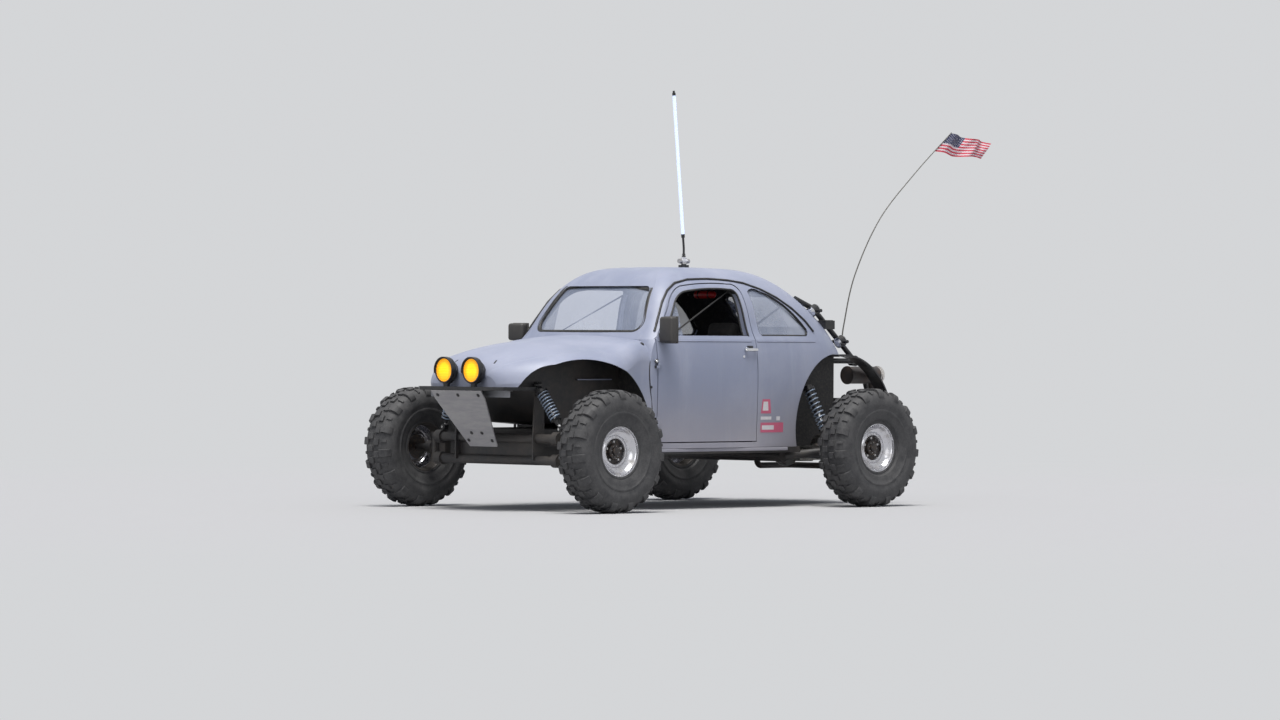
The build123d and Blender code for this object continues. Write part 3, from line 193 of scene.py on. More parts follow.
scuttle = scuttle * (along.maths("LESS_THAN", along, 2.0) * along.maths("GREATER_THAN", along, 1.266))
shade_and_underseal = inner_side.maths("MAXIMUM", inner_side.maths("MAXIMUM", inner_side, underside), arch_wall)
shade_and_underseal = shade_and_underseal.maths("MAXIMUM", shade_and_underseal, scuttle)
coated = dust.mixed(streaked, DUST)
# Near-black colour of those faces: painted shade, with some underseal and grit
shade_and_underseal_colour = (grit * 0.5).mixed((0.018, 0.018, 0.019, 1), (0.10, 0.085, 0.07, 1))
plug(
    shader,
    base_color=shade_and_underseal.mixed(coated, shade_and_underseal_colour),
    roughness=0.42 + mottle * 0.14 + dust * 0.25 + shade_and_underseal * 0.25,
    metallic=0.0,
    coat_weight=0.0,
    normal=bumped(place.cloud(260, 2, 0.5) + place.cloud(30, 3, 0.5) * 1.5, 0.12, 0.0008),
)
shader.inputs["Specular IOR Level"].default_value = 0.55
coat(paint, "cab_shell", "door_left", "door_right", "front_clip")


# Glass: laminated flat panes in rubber seals, with a film of dust that clouds them
glass, shader, place, height = finish("dusty_glass")
film = place.cloud(2.4, 4, 0.5, (1, 1, 0.6)).blur(0.3, 0.75)
plug(
    shader,
    base_color=film.mixed((0.30, 0.345, 0.46, 1), (0.44, 0.475, 0.56, 1)),
    roughness=0.05 + film * 0.16,
    alpha=0.34 + film * 0.18,
)
shader.inputs["IOR"].default_value = 1.45
coat(glass, "fixed_glass", "vent_glass_left", "vent_glass_right")


# Chassis steel: tubes and plates brushed with black paint, dusty all over
chassis, shader, place, height = finish("dusty_black_steel")
specks = place.cloud(38, 6, 0.75).blur(0.42, 0.78)
patches = place.cloud(5, 4, 0.6).blur(0.35, 0.7)
dust = specks * 0.30 + patches * 0.28
plug(
    shader,
    base_color=dust.mixed((0.018, 0.018, 0.020, 1), (0.115, 0.098, 0.082, 1)),
    roughness=0.48 + dust * 0.4,
    metallic=0.0,
    normal=bumped(place.cloud(160, 3, 0.6), 0.25),
)
coat(
    chassis,
    "floor_pan",
    # The front tub, the inner wings, gets the black steel: painted shade inside the arches, with underseal
    "front_tub",
    "front_beam",
    "front_arms",
    "knuckle_left",
    "knuckle_right",
    "rear_frame",
    "rear_arms",
)

satin, shader, place, height = finish("satin_black")
rubbed = place.cloud(14, 5, 0.7).blur(0.5, 0.8)
plug(
    shader,
    base_color=(rubbed * 0.35).mixed((0.016, 0.016, 0.018, 1), (0.13, 0.11, 0.09, 1)),
    roughness=0.36 + rubbed * 0.3,
    normal=bumped(place.cloud(210, 3, 0.6), 0.15),
)
coat(
    satin,
    "lamp_shelf",
    "lamp_housings",
    "rear_cage",
    "rear_flares",
    "roll_cage",
    "fan_shroud",
)

plate, shader, place, height = finish("scuffed_plate")
brushed = place.cloud(24, 6, 0.7, (1, 0.2, 1)).blur(0.35, 0.7)
scrapes = place.cloud(90, 3, 0.8, (1, 0.05, 1)).blur(0.58, 0.72)
plug(
    shader,
    base_color=brushed.mixed((0.27, 0.265, 0.275, 1), (0.36, 0.35, 0.35, 1)),
    metallic=0.25,
    roughness=0.52 + brushed * 0.2 - scrapes * 0.15,
    normal=bumped(brushed + scrapes, 0.2),
)
coat(plate, "skid_plate")

amber, shader, place, height = finish("lit_amber_lens")
sideways = place.node("SeparateXYZ", {0: place}, out=1)
sideways = sideways.maths("ABSOLUTE", sideways) - 0.138
upright = height - 0.962
reach = (sideways * sideways + upright * upright).maths("POWER", sideways * sideways + upright * upright, 0.5)
# Painted light in each lens: bright yellow in the middle is painted reflector light, deeper orange towards the rim and
# foot is painted shade; the emission carries the same pattern
rim_painted_shade = reach.blur(0.030, 0.076)
foot_painted_shade = 1 - upright.blur(-0.075, 0.01)
lens_painted_shade = rim_painted_shade.maths("MAXIMUM", rim_painted_shade, foot_painted_shade * 0.8)
flutes = sideways.maths("SINE", sideways * 560) + upright.maths("SINE", upright * 560)
lens_colour_with_painted_light = (lens_painted_shade * 0.75 + flutes * 0.07).mixed((1.0, 0.74, 0.012, 1), (0.86, 0.24, 0.004, 1))
plug(
    shader,
    base_color=lens_colour_with_painted_light,
    roughness=0.14,
    emission_color=lens_colour_with_painted_light,
    emission_strength=0.62,
    normal=bumped(flutes, 0.5, 0.002),
)
coat(amber, "lamp_lenses")

cast, shader, place, height = finish("cast_alloy")
oil = place.cloud(12, 6, 0.7).blur(0.42, 0.7)
plug(
    shader,
    base_color=oil.mixed((0.40, 0.39, 0.37, 1), (0.12, 0.10, 0.085, 1)),
    metallic=0.75 - oil * 0.5,
    roughness=0.45 + oil * 0.3,
    normal=bumped(place.cloud(240, 3, 0.7), 0.35),
)
coat(cast, "transaxle", "engine")

hot_black, shader, place, height = finish("heatproof_black")
burnt = place.cloud(9, 5, 0.65).blur(0.4, 0.75)
end_ring = 1 - place.node("SeparateXYZ", {0: place}, out=0).blur(-1.185, -1.178)
plug(
    shader,
    base_color=end_ring.mixed(burnt.mixed((0.040, 0.036, 0.036, 1), (0.085, 0.060, 0.048, 1)), (0.62, 0.60, 0.58, 1)),
    roughness=0.5 + burnt * 0.2 - end_ring * 0.28,
    metallic=0.3 + end_ring * 0.6,
)
coat(hot_black, "exhaust")

weave, shader, place, height = finish("black_seat_cloth")
threads = place.node("TexWave", {"Vector": place, "Scale": 260, "Distortion": 1.5}, bands_direction="Z")
plug(
    shader,
    base_color=place.cloud(30, 4, 0.6).mixed((0.018, 0.018, 0.020, 1), (0.05, 0.047, 0.045, 1)),
    roughness=0.85,
    normal=bumped(threads, 0.3, 0.0006),
)

moulded, shader, place, height = finish("moulded_plastic")
plug(
    shader,
    base_color=place.cloud(8, 4, 0.6).mixed((0.022, 0.022, 0.024, 1), (0.06, 0.055, 0.05, 1)),
    roughness=0.55,
    normal=bumped(place.cloud(600, 2, 0.5), 0.2, 0.0004),
)
coat(moulded, "dash", "steering_wheel")

chrome, shader, place, height = finish("pitted_chrome")
pits = place.cloud(300, 3, 0.7).blur(0.55, 0.7)
plug(shader, base_color=pits.mixed((0.75, 0.76, 0.78, 1), (0.4, 0.36, 0.32, 1)), metallic=1.0, roughness=0.12 + pits * 0.4)
coat(chrome, "handle_left", "handle_right")

lit_tube, shader, place, height = finish("lit_tube")
lit = height.maths("GREATER_THAN", height, 1.927) * height.maths("LESS_THAN", height, 2.915)
knob = height.maths("GREATER_THAN", height, 1.716) * height.maths("LESS_THAN", height, 1.772)
dull = knob.mixed((0.02, 0.02, 0.022, 1), (0.62, 0.62, 0.64, 1))
plug(
    shader,
    base_color=lit.mixed(dull, (0.66, 0.76, 1.0, 1)),
    roughness=0.3,
    emission_color=lit.mixed((0, 0, 0, 1), (0.62, 0.72, 1.0, 1)),
    emission_strength=0.6,
)
coat(lit_tube, "light_whip")


# Wheels: lugged carcasses on deep-dished alloy rims, five nuts on a wide circle, black hub caps.
# The lugs are moulded with the tyre; the rim is cast, then polished on its lip.
def piece(name, bm, material, body, sharp=40):
    """A finished piece from a bmesh, smooth except on its hard edges, riding on a body."""
    bmesh.ops.recalc_face_normals(bm, faces=bm.faces)
    mesh = bpy.data.meshes.new(name)
    bm.to_mesh(mesh)
    bm.free()
    mesh.materials.append(material)
    mesh.shade_smooth()
    mesh.set_sharp_from_angle(angle=radians(sharp))
    made = bpy.data.objects.new(name, mesh)
    bpy.context.scene.collection.objects.link(made)
    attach(made, body)
    return made


def turned_profile(bm, profile, centre, steps=96):
    """Turns a closed outline of (distance outward, radius) round a wheel's own axis."""
    ring = [bm.verts.new(centre + Vector((0, out, radius))) for out, radius in profile]
    edges = [bm.edges.new((a, b)) for a, b in zip(ring, ring[1:] + ring[:1])]
    bmesh.ops.spin(
        bm,
        geom=ring + edges,
        cent=centre,
        axis=(0, 1, 0),
        angle=tau,
        steps=steps,
        use_merge=True,
    )


def blocks(bm, outline, thick, centre, count, start, chamfer):
    """A row of tread blocks: an outline of (outward, radius), made thick and repeated round."""
    fresh = bmesh.new()
    face = fresh.faces.new([fresh.verts.new((-thick / 2, out, radius)) for out, radius in outline])
    grown = bmesh.ops.extrude_face_region(fresh, geom=[face])
    tops = [v for v in grown["geom"] if isinstance(v, bmesh.types.BMVert)]
    bmesh.ops.translate(fresh, verts=tops, vec=(thick, 0, 0))
    bmesh.ops.recalc_face_normals(fresh, faces=fresh.faces)
    bmesh.ops.bevel(
        fresh,
        geom=fresh.edges[:],
        offset=chamfer,
        segments=1,
        profile=0.5,
        affect="EDGES",
        material=-1,
    )
    bmesh.ops.rotate(fresh, verts=fresh.verts, cent=(0, 0, 0), matrix=Matrix.Rotation(start, 3, "Y"))
    bmesh.ops.spin(
        fresh,
        geom=fresh.verts[:] + fresh.edges[:] + fresh.faces[:],
        cent=(0, 0, 0),
        axis=(0, 1, 0),
        angle=tau * (count - 1) / count,
        steps=count - 1,
        use_duplicate=True,
    )
    bmesh.ops.translate(fresh, verts=fresh.verts, vec=centre)
    done = bpy.data.meshes.new("blocks")
    fresh.to_mesh(done)
    fresh.free()
    bm.from_mesh(done)
    bpy.data.meshes.remove(done)


tyre_rubber, shader, place, height = finish("dusty_tyre")
grime = place.cloud(14, 6, 0.7).blur(0.3, 0.72)
fine_grime = place.cloud(90, 4, 0.7).blur(0.35, 0.7)
dust = grime * 0.55 + fine_grime * 0.3
plug(
    shader,
    base_color=dust.mixed((0.021, 0.0215, 0.024, 1), (0.092, 0.090, 0.090, 1)),
    roughness=0.55 + dust * 0.35,
    normal=bumped(place.cloud(320, 4, 0.7) + place.cloud(40, 3, 0.6), 0.25, 0.0012),
)
alloy, shader, place, height = finish("polished_alloy")
smears = place.cloud(15, 4, 0.6).blur(0.45, 0.78)
outward = place.node("SeparateXYZ", {0: place}, out=1)
# The inboard part of each rim is dark, dull and rough: painted shade inside the wheel, with grime
inboard_shade_and_grime = 1 - outward.maths("ABSOLUTE", outward).blur(0.962, 0.970)
plug(
    shader,
    base_color=inboard_shade_and_grime.mixed((smears * 0.8).mixed((0.62, 0.62, 0.65, 1), (0.30, 0.28, 0.26, 1)), (0.06, 0.054, 0.05, 1)),
    metallic=(1.0 - smears * 0.55) * (1 - inboard_shade_and_grime * 0.8),
    roughness=0.17 + smears * 0.3 + inboard_shade_and_grime * 0.4,
)
hub_black, shader, place, height = finish("hub_black")
greasy = place.cloud(60, 5, 0.7).blur(0.45, 0.75)
plug(
    shader,
    base_color=greasy.mixed((0.016, 0.014, 0.014, 1), (0.13, 0.085, 0.055, 1)),
    roughness=0.34 + greasy * 0.4,
)
bolt_steel, shader, place, height = finish("zinc_bolt_steel")
tarnish = place.cloud(120, 4, 0.7).blur(0.4, 0.7)
plug(
    shader,
    base_color=tarnish.mixed((0.55, 0.55, 0.56, 1), (0.24, 0.21, 0.18, 1)),
    metallic=0.9 - tarnish * 0.4,
    roughness=0.28 + tarnish * 0.3,
)

RIM_R = 0.195
TYRE_R = 0.419
# Columns: corner, axle's x, side, middle of the tyre from the car's middle, tyre's half width
WHEELS = (
    ("front_left", FRONT_AXLE, 1, 0.980, 0.127),
    ("front_right", FRONT_AXLE, -1, 0.980, 0.127),
    ("rear_left", REAR_AXLE, 1, 0.985, 0.135),
    ("rear_right", REAR_AXLE, -1, 0.985, 0.135),
)
for corner, axle, side, track, wide in WHEELS:
    centre = Vector((axle, side * track, TYRE_R))
    body = "wheel_" + corner
    half = (
        (0.0, 0.1905),
        (0.080, 0.1905),
        (0.084, 0.176),
        (0.090, 0.1722),
        (0.0945, 0.174),
        (0.0968, 0.181),
        (0.0945, 0.189),
        (0.0968, 0.194),
        (wide - 0.024, 0.203),
        (wide - 0.014, 0.230),
        (wide - 0.0075, 0.256),
        (wide - 0.0045, 0.259),
        (wide - 0.0040, 0.269),
        (wide - 0.0060, 0.272),
        (wide - 0.0025, 0.296),
        (wide - 0.0002, 0.303),
        (wide - 0.0002, 0.322),
        (wide - 0.0030, 0.340),
        (wide - 0.0085, 0.358),
        (wide - 0.0165, 0.374),
        (wide - 0.028, 0.388),
        (wide - 0.044, 0.398),
        (wide - 0.064, 0.4035),
        (0.030, 0.4055),
        (0.0, 0.4057),
    )
    outline = [(out, radius) for out, radius in half]
    outline += [(-out, radius) for out, radius in reversed(half[1:-1])]
    bm = bmesh.new()
    turned_profile(bm, outline, centre)
    for row, way in ((0, 1), (1, -1)):
        shoulder = (
            (way * (wide - 0.072), 0.402),
            (way * (wide - 0.072), 0.4186),
            (way * (wide - 0.042), 0.4155),
            (way * (wide - 0.023), 0.406),
            (way * (wide - 0.0095), 0.388),
            (way * (wide - 0.0028), 0.364),
            (way * (wide - 0.0060), 0.350),
            (way * (wide - 0.020), 0.360),
        )
        blocks(bm, shoulder, 0.052, centre, 15, row * tau / 30, 0.0022)
        slim = (
            (way * (wide - 0.058), 0.400),
            (way * (wide - 0.058), 0.4125),
            (way * (wide - 0.036), 0.406),
            (way * (wide - 0.018), 0.389),
            (way * (wide - 0.022), 0.380),
        )
        blocks(bm, slim, 0.018, centre, 15, row * tau / 30 + tau / 30, 0.0015)
        middle = (
            (way * 0.007, 0.403),
            (way * 0.007, 0.4180),
            (way * 0.050, 0.4180),
            (way * 0.050, 0.403),
        )
        blocks(bm, middle, 0.044, centre, 30, row * tau / 60 + 0.02, 0.002)
    tyre = piece("lugged_tyre_" + corner, bm, tyre_rubber, body, 32)
    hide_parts("tyre_" + corner)

    lip = (
        (0.0905, 0.1715),
        (0.0925, 0.1702),
        (0.0930, 0.1680),
        (0.0920, 0.1658),
        (0.0880, 0.1642),
        (0.0820, 0.1630),
        (0.0790, 0.1590),
        (0.0750, 0.1555),
        (0.0640, 0.1500),
        (0.0520, 0.1390),
        (0.0430, 0.1260),
        (0.0390, 0.1170),
        (0.0395, 0.1130),
        (0.0440, 0.1085),
        (0.0480, 0.1020),
        (0.0485, 0.0960),
        (0.0450, 0.0895),
        (0.0380, 0.0855),
        (0.0300, 0.0845),
        (0.0020, 0.0840),
        (-0.0040, 0.0880),
        (0.0040, 0.1130),
        (0.0200, 0.1350),
        (0.0300, 0.1480),
        (-0.0500, 0.1540),
        (-0.0860, 0.1600),
        (-0.0920, 0.1655),
        (-0.0930, 0.1690),
        (-0.0905, 0.1715),
        (-0.0840, 0.1750),
        (-0.0800, 0.1890),
        (-0.0550, 0.1860),
        (-0.0400, 0.1700),
        (0.0550, 0.1700),
        (0.0680, 0.1860),
        (0.0800, 0.1890),
        (0.0840, 0.1750),
    )
    bm = bmesh.new()
    turned_profile(bm, [(side * out, radius) for out, radius in lip], centre)
    rim = piece("dished_rim_" + corner, bm, alloy, body, 28)

    cap = (
        (0.004, 0.0225),
        (0.004, 0.0865),
        (0.012, 0.0860),
        (0.014, 0.0540),
        (0.038, 0.0500),
        (0.043, 0.0450),
        (0.044, 0.0300),
        (0.056, 0.0285),
        (0.0610, 0.0230),
        (0.0635, 0.0120),
        (0.0640, 0.0),
        (0.030, 0.0),
        (0.030, 0.0225),
    )
    bm = bmesh.new()
    turned_profile(bm, [(side * out, radius) for out, radius in cap], centre, 48)
    bmesh.ops.remove_doubles(bm, verts=bm.verts, dist=0.00001)
    hub = piece("hub_cap_" + corner, bm, hub_black, body, 30)

    bm = bmesh.new()
    nuts = [(0.0675, 0.0105, 0.020, 5, 0.3, 6, 0.011)]
    nuts += [(0.0975, 0.0036, 0.006, 20, 0.0, 8, 0.0465)]
    nuts += [(0.0375, 0.0032, 0.006, 8, 0.2, 6, 0.0425)]
    for circle, size, tall, count, turn, corners, out in nuts:
        for step in range(count):
            angle = turn + step * tau / count
            spot = centre + Vector((circle * cos(angle), side * (out + tall / 2), circle * sin(angle)))
            made = bmesh.ops.create_cone(
                bm,
                cap_ends=True,
                segments=corners,
                radius1=size,
                radius2=size * 0.82,
                depth=tall,
                matrix=Matrix.Translation(spot) @ Matrix.Rotation(-side * pi / 2, 4, "X"),
            )
    bolts = piece("wheel_nuts_" + corner, bm, bolt_steel, body, 30)
    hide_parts("rim_" + corner)


# Coil-overs: a wound spring between two seats on a threaded body, with a bright shaft.
# Each hangs between rod eyes on 12 mm bolts.
spring_steel, shader, place, height = finish("powder_coated_spring")
chips = place.cloud(70, 5, 0.7).blur(0.5, 0.75)
plug(
    shader,
    base_color=chips.mixed((0.20, 0.25, 0.33, 1), (0.26, 0.22, 0.18, 1)),
    roughness=0.36 + chips * 0.3,
    metallic=0.35,
)
shaft_chrome, shader, place, height = finish("hard_chrome_shaft")
plug(
    shader,
    base_color=place.cloud(60, 3, 0.6).mixed((0.70, 0.71, 0.73, 1), (0.5, 0.48, 0.45, 1)),
    metallic=1.0,
    roughness=0.16,
)


def rod(bm, start, end, radius, end_radius=None, segments=24):
    """A round bar or taper between two points."""
    run = end - start
    bmesh.ops.create_cone(
        bm,
        cap_ends=True,
        segments=segments,
        radius1=radius,
        radius2=radius if end_radius is None else end_radius,
        depth=run.length,
        matrix=Matrix.Translation((start + end) / 2) @ run.to_track_quat("Z", "Y").to_matrix().to_4x4(),
    )


# Columns: name, top eye and foot eye as x from the front axle, distance out, height
DAMPERS = (
    ("front", (0.150, 0.4185, 0.862), (0.095, 0.590, 0.563)),
    ("rear", (-2.330, 0.560, 0.900), (-2.405, 0.738, 0.4475)),
)
springs, bodies, shafts = bmesh.new(), bmesh.new(), bmesh.new()
for which, top, foot in DAMPERS:
    for side in (1, -1):
        start = Vector((FRONT_AXLE + top[0], side * top[1], top[2]))
        end = Vector((FRONT_AXLE + foot[0], side * foot[1], foot[2]))
        run = end - start
        frame_here = Matrix.Translation(start) @ run.to_track_quat("Z", "Y").to_matrix().to_4x4()
        length = run.length
        rod(bodies, start + run * 0.10, start + run * 0.52, 0.0285)
        for band in range(9):
            at = start + run * (0.15 + band * 0.011)
            rod(bodies, at, at + run * 0.006, 0.0305)
        rod(bodies, start + run * 0.135, start + run * 0.165, 0.0425, 0.0425)
        rod(bodies, start + run * 0.775, start + run * 0.80, 0.0425, 0.038)
        rod(bodies, start + run * 0.80, start + run * 0.90, 0.022, 0.016)
        rod(shafts, start + run * 0.50, start + run * 0.97, 0.011)
        for eye in (start, end):
            rod(bodies, eye - Vector((0.018, 0, 0)), eye + Vector((0.018, 0, 0)), 0.0215)
            rod(shafts, eye - Vector((0.026, 0, 0)), eye + Vector((0.026, 0, 0)), 0.0085, segments=6)
        coil = bmesh.new()
        bmesh.ops.create_circle(
            coil,
            segments=10,
            radius=0.0056,
            matrix=Matrix.Translation((0.0365, 0, length * 0.17)) @ Matrix.Rotation(pi / 2, 4, "X"),
        )
        bmesh.ops.spin(
            coil,
            geom=coil.verts[:] + coil.edges[:],
            cent=(0, 0, 0),
            axis=(0, 0, 1),
            dvec=(0, 0, length * 0.60 / (9 * 28)),
            angle=tau * 9,
            steps=9 * 28,
        )
        ends = [edge for edge in coil.edges if edge.is_boundary]
        bmesh.ops.holes_fill(coil, edges=ends, sides=12)
        bmesh.ops.transform(coil, matrix=frame_here, verts=coil.verts)
        wound = bpy.data.meshes.new("wound")
        coil.to_mesh(wound)
        coil.free()
        springs.from_mesh(wound)
        bpy.data.meshes.remove(wound)
coils = piece("coil_springs", springs, spring_steel, "car")
damper_bodies = piece("damper_bodies", bodies, satin, "car")
damper_shafts = piece("damper_shafts", shafts, shaft_chrome, "car")
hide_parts("coilovers")


# Window rubbers, drip rails and belt beads: rubber and pressed strips that follow the skin.
# Each rubber is run round the edge of its pane or window opening.
from mathutils.bvhtree import BVHTree

rubber, shader, place, height = finish("window_rubber")
chalk = place.cloud(45, 5, 0.7).blur(0.45, 0.8)
plug(
    shader,
    base_color=chalk.mixed((0.012, 0.012, 0.013, 1), (0.075, 0.07, 0.062, 1)),
    roughness=0.5 + chalk * 0.35,
)


def merged(node):
    """A merged copy of a CAD node's mesh."""
    bm = bmesh.new()
    bm.from_mesh(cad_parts[node].data)
    bmesh.ops.remove_doubles(bm, verts=bm.verts, dist=0.00002)
    return bm


def edge_loops(node, angle=50):
    """The closed runs of hard edges on a CAD node, each as points in order."""
    bm = merged(node)
    hard = {
        edge
        for edge in bm.edges
        if len(edge.link_faces) == 2 and edge.calc_face_angle(0) > radians(angle)
    }
    loops = []
    while hard:
        edge = hard.pop()
        first, last = edge.verts
        run = [first, last]
        while True:
            onward = [e for e in run[-1].link_edges if e in hard]
            if not onward:
                break
            hard.remove(onward[0])
            run.append(onward[0].other_vert(run[-1]))
            if run[-1] == first:
                run.pop()
                break
        loops.append([v.co.copy() for v in run])
    bm.free()
    return loops


def span(points, axis):
    values = [point[axis] for point in points]
    return min(values), max(values)


def bead(name, runs, radius, material, body, cyclic=True, sides=2):
    """A round strip along one or more runs of points, made a mesh."""
    line = bpy.data.curves.new(name, "CURVE")
    line.dimensions = "3D"
    line.bevel_depth = radius
    line.bevel_resolution = sides
    line.use_fill_caps = True
    for points in runs:
        spline = line.splines.new("POLY")
        spline.points.add(len(points) - 1)
        for knot, point in zip(spline.points, points):
            knot.co = (*point, 1)
        spline.use_cyclic_u = cyclic
    drawn = bpy.data.objects.new(name + "_line", line)
    mesh = bpy.data.meshes.new_from_object(drawn)
    bpy.data.objects.remove(drawn)
    mesh.name = name
    mesh.materials.clear()
    mesh.materials.append(material)
    mesh.shade_smooth()
    made = bpy.data.objects.new(name, mesh)
    bpy.context.scene.collection.objects.link(made)
    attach(made, body)
    return made


def thinned(points, least):
    """Drops points that crowd closer than a least distance."""
    kept = [points[0]]
    for point in points[1:]:
        if (point - kept[-1]).length > least:
            kept.append(point)
    return kept


pane_loops = [loop for loop in edge_loops("fixed_glass") if len(loop) > 12]
outer = []
for loop in pane_loops:
    middle = sum(loop, Vector()) / len(loop)
    reach = (middle - Vector((0.4, 0, 0.9))).length
    rivals = [r for r, m, l in outer if (m - middle).length < 0.05]
    if rivals and max(rivals) > reach:
        continue
    outer = [(r, m, l) for r, m, l in outer if (m - middle).length >= 0.05]
    outer.append((reach, middle, loop))
bead("window_rubbers", [thinned(l, 0.008) for r, m, l in outer], 0.0115, rubber, "car")
for side_name, side in (("left", 1), ("right", -1)):
    windows = []
    for loop in edge_loops("door_" + side_name):
        low, high = span(loop, 2)
        if low > 1.19 and high - low > 0.25 and len(loop) > 10:
            windows.append(loop)
    windows.sort(key=lambda l: -side * sum(p[1] for p in l) / len(l))
    if windows:
        bead(
            "door_window_rubber_" + side_name,
            [thinned(windows[0], 0.008)],
            0.007,
            rubber,
            "door_" + side_name,
        )

cab_skin = BVHTree.FromBMesh(merged("cab_shell"))
door_skins = {name: BVHTree.FromBMesh(merged("door_" + name)) for name in ("left", "right")}


def on_skin(skin, x, z, side, proud=0.0):
    """The point on the outer skin at a distance from the front axle and a height."""
    spot, normal, index, gap = skin.ray_cast(Vector((FRONT_AXLE + x, side * 2, z)), Vector((0, -side, 0)))
    return None if spot is None else spot + normal * proud


# Columns: distance from the front axle, height, along the roof edge from the cowl to the belt
DRIP = (
    (-0.745, 1.235),
    (-0.800, 1.320),
    (-0.880, 1.440),
    (-0.960, 1.520),
    (-1.060, 1.572),
    (-1.200, 1.598),
    (-1.400, 1.604),
    (-1.600, 1.596),
    (-1.760, 1.578),
    (-1.930, 1.535),
    (-2.080, 1.478),
    (-2.220, 1.402),
    (-2.330, 1.318),
    (-2.400, 1.240),
)
for side_name, side in (("left", 1), ("right", -1)):
    rail = [on_skin(cab_skin, x, z, side, 0.003) for x, z in DRIP]
    bead("drip_rail_" + side_name, [[p for p in rail if p]], 0.0085, rubber, "car", False)
    crease = [on_skin(door_skins[side_name], -0.735 - 0.04 * step, 1.168, side, -0.0015) for step in range(24)]
    bead("door_crease_" + side_name, [[p for p in crease if p]], 0.005, paint, "door_" + side_name, False)
    crease = [on_skin(cab_skin, -1.712 - 0.04 * step, 1.168, side, -0.0015) for step in range(18)]
    bead("quarter_crease_" + side_name, [[p for p in crease if p]], 0.005, paint, "car", False)


# Windscreen seal: a thick rubber with a flat outer lip, lapped over the pane and the body.
# It is heavier than the other window rubbers, so it has its own section.
screens = [l for r, m, l in outer if m.x > 0.9]
for loop in screens:
    middle = sum(loop, Vector()) / len(loop)
    runs = []
    for grow in (1.0, 1.018):
        runs.append([middle + (p - middle) * grow + Vector((0.004, 0, 0.002)) for p in thinned(loop, 0.008)])
    bead("windscreen_seal", runs, 0.0135, rubber, "car")


# Door mirrors: moulded square heads with rounded corners, a glass in the back and a stout arm.
# Each arm is screwed to the door at the front corner of its window.
def rounded_box(bm, middle, size, radius, segments=3, turn=None):
    """A block with all its edges rounded, optionally turned about its middle."""
    block = bmesh.new()
    bmesh.ops.create_cube(block, size=1)
    bmesh.ops.scale(block, vec=size, verts=block.verts)
    bmesh.ops.bevel(
        block,
        geom=block.edges[:],
        offset=radius,
        segments=segments,
        profile=0.5,
        affect="EDGES",
        material=-1,
    )
    if turn:
        bmesh.ops.transform(block, matrix=turn, verts=block.verts)
    bmesh.ops.translate(block, vec=middle, verts=block.verts)
    held = bpy.data.meshes.new("held")
    block.to_mesh(held)
    block.free()
    bm.from_mesh(held)
    bpy.data.meshes.remove(held)


mirror_glass, shader, place, height = finish("mirror_glass")
plug(
    shader,
    base_color=place.cloud(6, 4, 0.6).blur(0.4, 0.8).mixed((0.82, 0.84, 0.87, 1), (0.55, 0.54, 0.52, 1)),
    metallic=1.0,
    roughness=0.08,
)
for side_name, side in (("left", 1), ("right", -1)):
    head = Vector((1.212, side * 0.762, 1.246 if side > 0 else 1.228))
    tall = 0.182 if side > 0 else 0.122
    lean = Matrix.Rotation(side * radians(-7), 4, "Z")
    bm = bmesh.new()
    rounded_box(bm, head, (0.066, 0.140, tall), 0.020, 4, lean)
    rounded_box(bm, head + Vector((-0.031, 0, 0)), (0.014, 0.146, tall + 0.006), 0.0065, 3, lean)
    arm = [Vector((1.170, side * 0.668, 1.196)), Vector((1.182, side * 0.698, 1.192)), Vector((1.196, side * 0.722, 1.196))]
    rod(bm, arm[0], arm[1], 0.026, 0.021)
    rod(bm, arm[1], arm[2], 0.021, 0.016)
    rounded_box(bm, Vector((1.172, side * 0.672, 1.200)), (0.085, 0.018, 0.050), 0.008)
    shell = piece("mirror_head_" + side_name, bm, moulded, "door_" + side_name, 35)
    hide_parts("mirror_" + side_name)
    bm = bmesh.new()
    rounded_box(bm, head + Vector((-0.0375, 0, 0)), (0.004, 0.124, tall - 0.016), 0.0018, 2, lean)
    pane = piece("mirror_pane_" + side_name, bm, mirror_glass, "door_" + side_name)


# Door handles: chromed bars on two feet with a push button, over a flat black plate that paints the shade of the finger
# dish
for side_name, side in (("left", 1), ("right", -1)):
    body = "door_" + side_name
    skin = door_skins[side_name]
    bm = bmesh.new()
    rounded_box(bm, Vector((0.350, side * 0.722, 1.110)), (0.126, 0.015, 0.022), 0.0062, 4)
    rounded_box(bm, Vector((0.395, side * 0.712, 1.110)), (0.024, 0.026, 0.024), 0.005)
    rounded_box(bm, Vector((0.305, side * 0.710, 1.110)), (0.022, 0.026, 0.022), 0.005)
    rod(bm, Vector((0.384, side * 0.724, 1.110)), Vector((0.384, side * 0.732, 1.110)), 0.0092)
    bar = piece("door_handle_" + side_name, bm, chrome, body, 35)
    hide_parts("handle_" + side_name)
    # The finger dish is a thin black plate on the skin: painted shade of the recess
    spot = on_skin(skin, 0.343 - FRONT_AXLE, 1.128, side)
    bm = bmesh.new()
    rounded_box(bm, spot, (0.062, 0.003, 0.020), 0.0014, 2)
    recess_shade_plate = piece("handle_dish_" + side_name, bm, satin, body)
    bm = bmesh.new()
    spot = on_skin(skin, 0.418 - FRONT_AXLE, 1.062, side)
    rod(bm, spot - Vector((0, side * 0.002, 0)), spot + Vector((0, side * 0.004, 0)), 0.0095)
    rod(bm, spot + Vector((0, side * 0.004, 0)), spot + Vector((0, side * 0.0055, 0)), 0.0072)
    lock = piece("door_lock_" + side_name, bm, chrome, body, 35)


# Small body fittings: door strap screws on the posts, blanking plugs, the nose slot as a dark patch of painted shade,
# sill strips.
# The sill strip is folded sheet painted with the body.
clip_skin = BVHTree.FromBMesh(merged("front_clip"))
